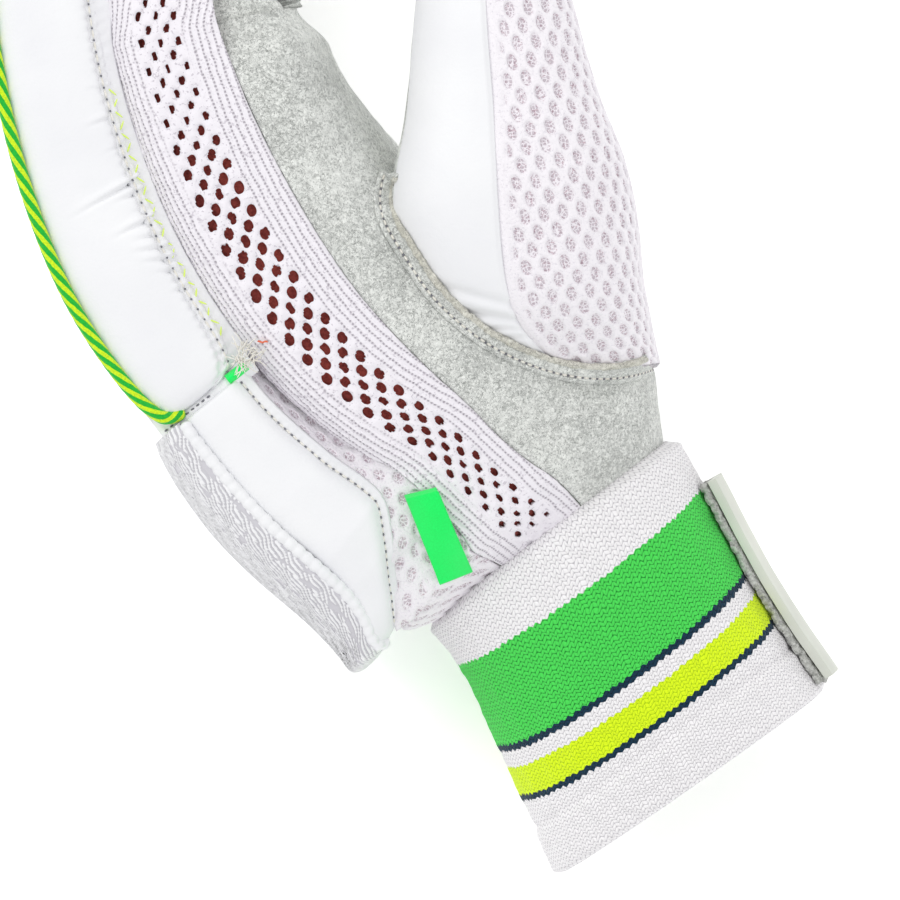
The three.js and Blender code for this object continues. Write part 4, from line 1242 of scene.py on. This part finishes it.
def roll_relief(number):
    """Gathers that run from the sewn edge over the upper wall, and a soft unevenness"""
    def relief(spot):
        off = spot.right - ROLL_SEAM_AT
        crease = 0.0
        for place, reach, lean, depth in ROLL_CREASES:
            gone = ease(1 - abs(off) / reach)
            if gone > 0:
                start = spot.along - place - lean * off
                fold = math.exp(-(start / 0.55) ** 2) - 0.55 * math.exp(-((start - 1.3) / 0.9) ** 2)
                crease -= depth * gone * fold
        gather = 0.25 * ease(1 - abs(off) / 3.5) * math.cos(2 * math.pi * spot.along / 2.8)
        sewn = 0.9 * math.exp(-(off / 1.2) ** 2)
        return 0.45 * soft_noise(spot, 20, number * 4.0) + crease + gather - sewn
    return relief


def make_rolls():
    for number, name in enumerate(FINGERS):
        across, along = (170, 360) if number == 0 else (80, 130)
        roll = patch(f"{name}_finger_roll", across, along, roll_row(number), roll_relief(number), closed=True)
        finished(roll, leather, "leather", f"{name}_roll")


def make_fingers():
    for number, name in enumerate(FINGERS):
        def relief(spot, number=number):
            creases = 0.7 * noise.noise(Vector((spot.across / 22, spot.along / 5, number + 3.5)))
            return 0.4 * soft_noise(spot, 10, number) + 0.12 * soft_noise(spot, 3, 5) + creases
        finger = patch(f"{name}_sleeve", 90, 110, finger_row(number), relief, closed=True)
        thicken(finger, CLOTH_WALL)
        finished(finger, suede, "suede", f"{name}_finger")


def make_tip_pads():
    start = ROLL_ROWS[-1][0] - 1 + 0.012
    for number, name in enumerate(FINGERS):
        per_along = HAND_LENGTH / (FINGER_REACH[number] * FINGER_LENGTH)

        def row(v, number=number, per_along=per_along):
            read = {key: smooth_row(TIP_ROWS, v * (len(TIP_ROWS) - 1), column) for key, column in TIP.items()}
            past = mix(start * per_along, 0.96, read["run"])
            section = finger_section(number, finger_place(past))
            along = 1 + past / per_along
            base = section["middle"] + section["reach"] + SOFT_GAP
            inner, outer = base + read["lift"] * ROLL_DEPTH, base + read["depth"] * ROLL_DEPTH
            half = read["girth"] * finger_lane(number)[1]
            shrink = drawn_in(v, 0.08, 0.1)

            def point(u, lift):
                angle = swapped(2 * math.pi * u - math.pi, TIP_SQUARE, TIP_SQUARE, False)
                reach = ((outer - inner) / 2 + lift) * shrink
                x, z = rounded(angle, reach, reach, (half + lift) * shrink, TIP_SQUARE, TIP_SQUARE)
                return Vector((*on_bend(along, (inner + outer) / 2 + x), section["height"] + z))
            return point
        pad = patch(f"{name}_fingertip_pad", 64, 64, row,
                    lambda spot, number=number: 0.3 * soft_noise(spot, 14, 3 * number), closed=True)
        finished(pad, leather, "leather", f"{name}_tip_pad")


def body_row(v):
    """A ring round the wrist pad's white body: a share of 0.75 is the middle of its upper wall"""
    here = pad_frame(v * (len(PAD_ROWS) - 1))
    shrink = drawn_in(v, 0.05, 0.02)
    inner, outer = here["seat"], here["edge"] + 0.4
    middle, reach = (inner + outer) / 2, (outer - inner) / 2

    def point(u, lift):
        angle = swapped(2 * math.pi * u - math.pi, PAD_SQUARE, PAD_SQUARE, False)
        wide, high = (reach + lift) * shrink, (here["half"] - 0.2 + lift) * shrink
        x, z = rounded(angle, wide, wide, high, PAD_SQUARE, PAD_SQUARE)
        return pad_point(here, middle + x, here["centre"] + z)
    return point


def crown_row(v):
    """A line over the wrist pad's embossed face, from its upper edge down to its lower one"""
    here = pad_frame(v * (len(PAD_ROWS) - 1))

    def point(u, lift):
        angle = math.pi * u
        out = here["edge"] + here["dome"] * max(math.sin(angle), 0) ** 0.62 + lift
        return pad_point(here, out, here["centre"] + (here["half"] - 0.6 + lift * 0.3) * math.cos(angle))
    return point


def bark(spot):
    """Long leaning ridges that bend in short zigzags, and stop and start like bark"""
    bend = abs((spot.along / 6.4 + 0.37 * math.floor(spot.left / 4)) % 1 - 0.5) * 1.7
    drift = 0.7 * noise.noise(Vector((spot.left / 6, spot.along / 9, 1)))
    wave = math.cos(2 * math.pi * (spot.left + 0.42 * spot.along + bend + drift) / 1.18)
    broken = ease((noise.noise(Vector((spot.left / 2.0, spot.along / 4.6, 5))) + 0.5) / 0.25)
    return ease((wave + 0.25) / 0.8) * broken


def pad_frame(place):
    read = {name: smooth_row(PAD_ROWS, place, column) for name, column in PAD.items()}
    out, top = hand_back(read["along"])
    centre = (top - SETTLE) / 2
    return dict(along=read["along"], seat=out + GAP + read["lift"] * PAD_DEPTH,
                edge=read["edge"] * HAND_DEPTH, dome=read["dome"] * PAD_DOME,
                centre=centre, half=(centre + SETTLE) * read["height"])


def pad_point(frame_, out, z):
    return Vector((*on_bend(frame_["along"], out), max(z, 0.02)))


def make_wrist_pad():
    body = patch("wrist_pad_body", 180, 150, body_row,
                 lambda spot: 0.4 * soft_noise(spot, 22, 11) + 0.15 * soft_noise(spot, 6, 2), closed=True)
    finished(body, leather, "leather", "wrist_pad")
    cover = patch("wrist_pad_embossed_cover", 380, 130, crown_row,
                  lambda spot: 0.4 * bark(spot) + 0.3 * soft_noise(spot, 16, 4), mask=bark)
    thicken(cover, 1.8)
    finished(cover, embossed, "embossed", "wrist_pad_cover")
    # the sewn welt where the body and the cover meet
    route = [crown_row(mix(0.03, 0.985, i / 300))(0.0, -0.9) for i in range(301)]
    for place in route:
        place.z -= 0.25
    welt = tube("wrist_pad_welt", route, 1.45, sides=16,
                twist=lambda turn, run: 0.24 * abs(math.sin(math.pi * run / 2.7))
                + 0.2 * noise.noise(Vector((math.cos(turn), math.sin(turn), run / 1.6))) - 0.1)
    finished(welt, leather, "leather")
    inside = [body_row(mix(0.04, 0.95, i / 200))(0.638, 0.0) for i in range(201)]
    stitched("wrist_pad_welt_stitches", places_along(inside, 2.7), (1.1, 0.4, 0.4), grey_thread_and_hole_shade, "leather")


PIPING_STRANDS, PIPING_LEAD = 4, 24


def make_piping():
    """A cord of twisted green and lime strands along the index roll's outer edge"""
    last = len(ROLL_ROWS) - 1
    lift = (PIPING_RADIUS + SOFT_GAP) * math.sqrt(0.5)
    route = []
    for i in range(281):
        along, middle, reach, centre, half = roll_ring(0, mix(0.35, last - 0.4, i / 280))
        x, z = rounded(math.radians(45), reach, reach, half, 5, 5)
        route.append(Vector((*on_bend(along, middle + x + lift * 0.75), centre + z + lift * 0.35)))

    def twist(turn, run):
        return 0.14 * abs(math.cos(PIPING_STRANDS * (turn - 2 * math.pi * run / PIPING_LEAD))) - 0.1
    piece = tube("twisted_piping", route, PIPING_RADIUS - 0.35, sides=48, twist=twist)
    mesh = piece.data
    strand = mesh.attributes.new("strand", "FLOAT", "POINT")
    uv = mesh.uv_layers[0].data
    width = max(layer.uv[0] for layer in uv) * 2
    for loop, layer in zip(mesh.loops, uv):
        turn = 2 * math.pi * (layer.uv[0] / width + 0.5)
        along_turn = 2 * math.pi * layer.uv[1] / PIPING_LEAD
        strand.data[loop.vertex_index].value = math.cos(PIPING_STRANDS * (turn - along_turn))
    finished(piece, cord, "green_cord", "piping")


# the ends of the tab's two long sides, as places in the picture
TAB_SIDES = (((404, 495), (440, 585)), ((436, 487), (473, 572)))


def make_tab(skin):
    """A flat green ribbon laid from the band's edge down over the mesh"""
    upper, lower = [], []
    for (start, end), line in zip(TAB_SIDES, (upper, lower)):
        for i in range(21):
            spot, _ = skin.under([mix(start[axis], end[axis], i / 20) for axis in (0, 1)])
            line.append(spot * 1000 - CENTRE)
    for line in (upper, lower):
        start, end = line[0], line[-1]
        rise = max((place.z - mix(start.z, end.z, i / 20)) for i, place in enumerate(line))
        for i, place in enumerate(line):
            place.z = mix(start.z, end.z, i / 20) + rise * math.sin(math.pi * i / 20) + 2.3
    tab = patch("green_side_tab", 24, 60, bridge_row(upper, lower),
                lambda spot: 0.9 * math.sin(math.pi * spot.share) + 0.06 * soft_noise(spot, 3, 1))
    thicken(tab, 0.9)
    finished(tab, green_tape, "green_tape", "side_tab")


def make_roll_end():
    """What shows between the roll's lower end and the wrist pad: their joined edges, a fold of green tape,
    the seam's frayed threads and an orange one"""
    out, top = hand_back(0.5)

    def gap_row(v):
        reach = mix(-0.6, 26.5, v)
        drop = 4.2 + 1.6 * v
        return lambda u, lift: Vector((*on_bend(mix(0.487, 0.532, u), out + reach), top - drop + lift
                                       + 1.5 * math.cos(2 * math.pi * (u - 0.3))))
    joint = patch("roll_end_flange", 40, 90, gap_row,
                  lambda spot: 0.25 * soft_noise(spot, 3.5, 9) + 0.1 * math.cos(math.pi * spot.along))
    thicken(joint, 1.3)
    finished(joint, leather, "leather")
    seam = [gap_row(mix(0.45, 0.97, i / 60))(0.36, 0.15) for i in range(61)]
    stitched("roll_end_stitches", places_along(seam, 1.5), (1.0, 0.5, 0.4), grey_thread_and_hole_shade, "leather")

    def fold_row(v):
        reach = mix(1.0, 6.5, v)
        return lambda u, lift: Vector((*on_bend(mix(0.497, 0.512, u), out + reach), top - 2.6 + lift
                                       + 1.6 * math.sin(math.pi * u) - 0.9 * v))
    fold = patch("green_tape_fold", 16, 24, fold_row, lambda spot: 0.15 * soft_noise(spot, 1.4, 1))
    thicken(fold, 0.8)
    finished(fold, green_tape, "green_tape")

    dice = random.Random(7)
    root = Vector((*on_bend(0.513, out - 0.4), top + 0.6))
    ahead = (Vector((*on_bend(0.50, out - 4), top)) - Vector((*on_bend(0.53, out + 2), top))).normalized()
    side = Vector((0, 0, 1)).cross(ahead)
    strands = []
    for i in range(64):
        heading = (ahead * dice.uniform(-0.5, 1) + side * dice.uniform(-1, 1)).normalized()
        start = root + side * dice.uniform(-2.2, 2.2) + ahead * dice.uniform(-2.5, 1.5)
        length, rise, curl = dice.uniform(1.6, 4.6), dice.uniform(-0.3, 1.3), dice.uniform(-1.4, 1.4)
        route = []
        for k in range(7):
            t = k / 6
            across = Vector((0, 0, 1)).cross(heading)
            route.append(start + heading * length * t + across * curl * t * t
                         + Vector((0, 0, rise * math.sin(math.pi * t) + 0.2)))
        strands.append(tube(f"frayed_strand_{i}", route, 0.13, sides=5))
    finished(joined("frayed_threads", strands), thread, "leather")
    start = Vector((*on_bend(0.521, out - 4.4), top + 0.5))
    route = [start + ahead * 0.45 * k + Vector((0, 0, 0.25 * math.sin(k))) + side * 0.2 * math.sin(k * 1.7)
             for k in range(7)]
    finished(tube("orange_thread", route, 0.24, sides=6), orange_thread, "leather")


# the thumb seam's line, as places in the picture
BINDING_LINE = [(393, 177), (389, 190), (391, 215), (415, 256), (442, 294), (480, 328), (520, 351),
                (560, 365), (600, 370), (632, 367), (659, 358)]


def make_thumb_binding(skin):
    """The raw-edged suede strip, sewn over the thumb panels' lower edge"""
    line = smooth_path(BINDING_LINE, 110)
    near, far = [], []
    for i, pixel in enumerate(line):
        heading = (line[min(i + 1, 110)] - line[max(i - 1, 0)]).normalized()
        side = Vector((-heading.y, heading.x))
        for route, reach, lift in ((near, -3, 1.3), (far, 15, 0.7)):
            spot, _ = skin.under(pixel + side * reach)
            route.append(None if spot is None else spot * 1000 - CENTRE + Vector((0, 0, lift)))
    pairs = [(a, b) for a, b in zip(near, far) if a is not None and b is not None and a.z > 20 and b.z > 20]
    near, far = softened([a for a, _ in pairs], 8), softened([b for _, b in pairs], 8)

    def ragged(spot):
        raw = 0.35 * ease((0.16 - spot.share) / 0.16) * noise.noise(Vector((spot.along / 0.9, 0, 4)))
        sewn = 0.8 * math.exp(-((spot.share - 0.66) / 0.07) ** 2)
        edge = 0.5 * ease((spot.share - 0.85) / 0.15)
        return 0.3 + raw - sewn - edge + 0.3 * soft_noise(spot, 2.2, 6) + 0.3 * soft_noise(spot, 7, 2)
    strip = patch("thumb_suede_binding", 30, 300, bridge_row(near, far), ragged)
    thicken(strip, 1.3)
    finished(strip, suede, "suede")
    raw = [a + Vector((0, 0, 0.35 + 0.25 * noise.noise(Vector((i / 1.7, 0, 2))))) for i, a in enumerate(near)]
    fringe = tube("thumb_binding_raw_edge", raw, 0.75, sides=10,
                  twist=lambda turn, run: 0.5 * noise.noise(
                      Vector((math.cos(turn) * 1.3, math.sin(turn), run / 0.8))))
    finished(fringe, raw_suede, "suede")
    seam = [a.lerp(b, 0.66) - Vector((0, 0, 0.2)) for a, b in zip(near, far)]
    spots = places_along(seam, 1.9)
    stitched("thumb_binding_stitches", spots, (1.5, 0.55, 0.5), thread, "suede")
    # dark grey beads between the stitches: painted shade in the needle holes
    stitched("thumb_binding_needle_hole_shade", [(place + heading * 0.95, heading) for place, heading in spots],
             (0.6, 0.7, 0.5), grey_thread_and_hole_shade, "suede")


def make_flanges(skin):
    """The thin leather edges by which the roll and the wrist pad are sewn down, with their stitches"""
    edge = [band_grid_row(i / 400)(0.0, 0.0) for i in range(401)]
    near, far = [], []
    for i in range(161):
        place = roll_row(0)(mix(0.055, 0.985, i / 160))(0.862, 0)
        place.z -= 0.9
        near.append(place)
        other = nearest_on(edge, place).copy()
        other.z = max(other.z - 0.3, place.z - 3)
        far.append(other + (other - place).normalized() * 0.8)
    far = softened(far)
    flange = patch("roll_flange", 16, 320, bridge_row(near, far, 0.5),
                   lambda spot: 0.25 * math.cos(2 * math.pi * spot.along / 2.8) * (1 - spot.share)
                   + 0.2 * soft_noise(spot, 3, 2))
    thicken(flange, 1.2)
    finished(flange, leather, "leather")
    seam = [a.lerp(b, 0.16) + Vector((0, 0, 0.12)) for a, b in zip(near, far)]
    spots = places_along(seam, 2.8)
    stitched("roll_seam_stitches", spots, (2.1, 0.5, 0.45), thread, "leather")
    # dark grey beads between the stitches: painted shade in the needle holes
    stitched("roll_needle_hole_shade", [(place + heading * 1.4, heading) for place, heading in spots],
             (0.6, 0.5, 0.45), grey_thread_and_hole_shade, "leather")
    zigzag = []
    lime = [a.lerp(b, 0.5) + Vector((0, 0, 0.35)) for a, b in zip(near, far)]
    for i, (place, heading) in enumerate(places_along(lime[46:112], 2.6)):
        side = Vector((0, 0, 1)).cross(heading).normalized()
        turned = (heading + side * (0.7 if i % 2 else -0.7)).normalized()
        zigzag.append((place, turned))
    stitched("lime_zigzag_thread", zigzag, (2.5, 0.42, 0.36), lime_thread, "green_cord")

    near, far = [], []
    for i in range(121):
        v = mix(0.10, 0.965, i / 120)
        place = body_row(v)(0.862, 0)
        place.z -= 0.8
        near.append(place)
        other = body_row(v)(0.862, 0)
        inward = (nearest_on(edge, other) - other)
        inward.z = 0
        other += inward.normalized() * min(2.6, inward.length)
        spot, _ = skin.below(to_frame(other))
        if spot is not None:
            other.z = max(spot.z * 1000 + 0.5, place.z - 2.2)
        far.append(other)
    far = softened(far, 6)
    flange = patch("wrist_pad_flange", 14, 240, bridge_row(near, far, 0.2),
                   lambda spot: 0.12 * math.cos(2 * math.pi * spot.along / 2.1) * (1 - spot.share))
    thicken(flange, 1.2)
    finished(flange, leather, "leather")
    low = [place - Vector((0, 0, 0.9)) for place in far]
    other_side = []
    for place in far:
        other = nearest_on(edge, place).copy()
        other.z -= 0.9
        other_side.append(other + (other - place).normalized() * 0.8)
    cells = cell_mask(4.4, 4.1, 1.2, 1.5)
    net = patch("side_mesh_strip", 44, 240, bridge_row(low, softened(other_side, 6), 0.9),
                lambda spot: 0.25 * soft_noise(spot, 5, 3) - 0.5 * cells(spot), mask=cells)
    bulged(net)
    thicken(net, 1.0)
    finished(net, spacer, "mesh")
    seam = [a.lerp(b, 0.2) + Vector((0, 0, 0.1)) for a, b in zip(near, far)]
    spots = places_along(seam[:-5], 2.1)
    stitched("pad_seam_stitches", spots, (1.5, 0.45, 0.4), thread, "leather")
    # dark grey beads between the stitches: painted shade in the needle holes
    stitched("pad_needle_hole_shade", [(place + heading * 1.05, heading) for place, heading in spots],
             (0.7, 0.5, 0.45), grey_thread_and_hole_shade, "leather")


make_wristband()
make_closure()
palm, back = make_hand()
band = make_band()
thumb_skin = make_thumb(palm)
make_rolls()
make_fingers()
make_tip_pads()
make_wrist_pad()
make_piping()
make_tab(Skin([back, band]))
make_flanges(Skin([back]))
make_roll_end()
make_thumb_binding(thumb_skin)
thicken(palm, CLOTH_WALL)
thicken(back, CLOTH_WALL)
finished(palm, suede, "suede", "palm_suede")
finished(back, spacer, "mesh", "back_mesh")

# ---------------------------------------------------------------------------
# Floor and light

FLOOR_GLOW, SKY_STRENGTH = 0.34, 0.76
bpy.ops.object.select_all(action="DESELECT")
bpy.ops.mesh.primitive_plane_add(size=12, location=(0, 0, -0.0002))
floor = bpy.context.object
floor.name = "floor"
floor_finish, floor_tree, floor_shader = new_finish("pale_floor", (0.97, 0.97, 0.97), 0.9)
floor_shader.inputs["Emission Color"].default_value = (1, 1, 1, 1)
floor_shader.inputs["Emission Strength"].default_value = FLOOR_GLOW
floor.data.materials.append(floor_finish)

world = bpy.data.worlds.new("studio")
bpy.context.scene.world = world
world.use_nodes = True
world.node_tree.nodes["Background"].inputs["Color"].default_value = (1.0, 1.0, 1.0, 1)
world.node_tree.nodes["Background"].inputs["Strength"].default_value = SKY_STRENGTH
for name, place, size, power, color in (
    ("key_light", (-1.1, 1.0, 1.7), 2.0, 20, (1.0, 0.995, 0.985)),
    ("fill_light", (1.2, -0.8, 1.6), 1.6, 7, (0.98, 0.985, 1.0)),
):
    bpy.ops.object.light_add(type="AREA", location=place)
    light = bpy.context.object
    light.name = name
    light.data.size = size
    light.data.energy = power
    light.data.color = color
    light.rotation_euler = (Vector((0, -0.04, 0.05)) - Vector(place)).to_track_quat("-Z", "Y").to_euler()

bpy.context.scene.view_settings.view_transform = "Standard"
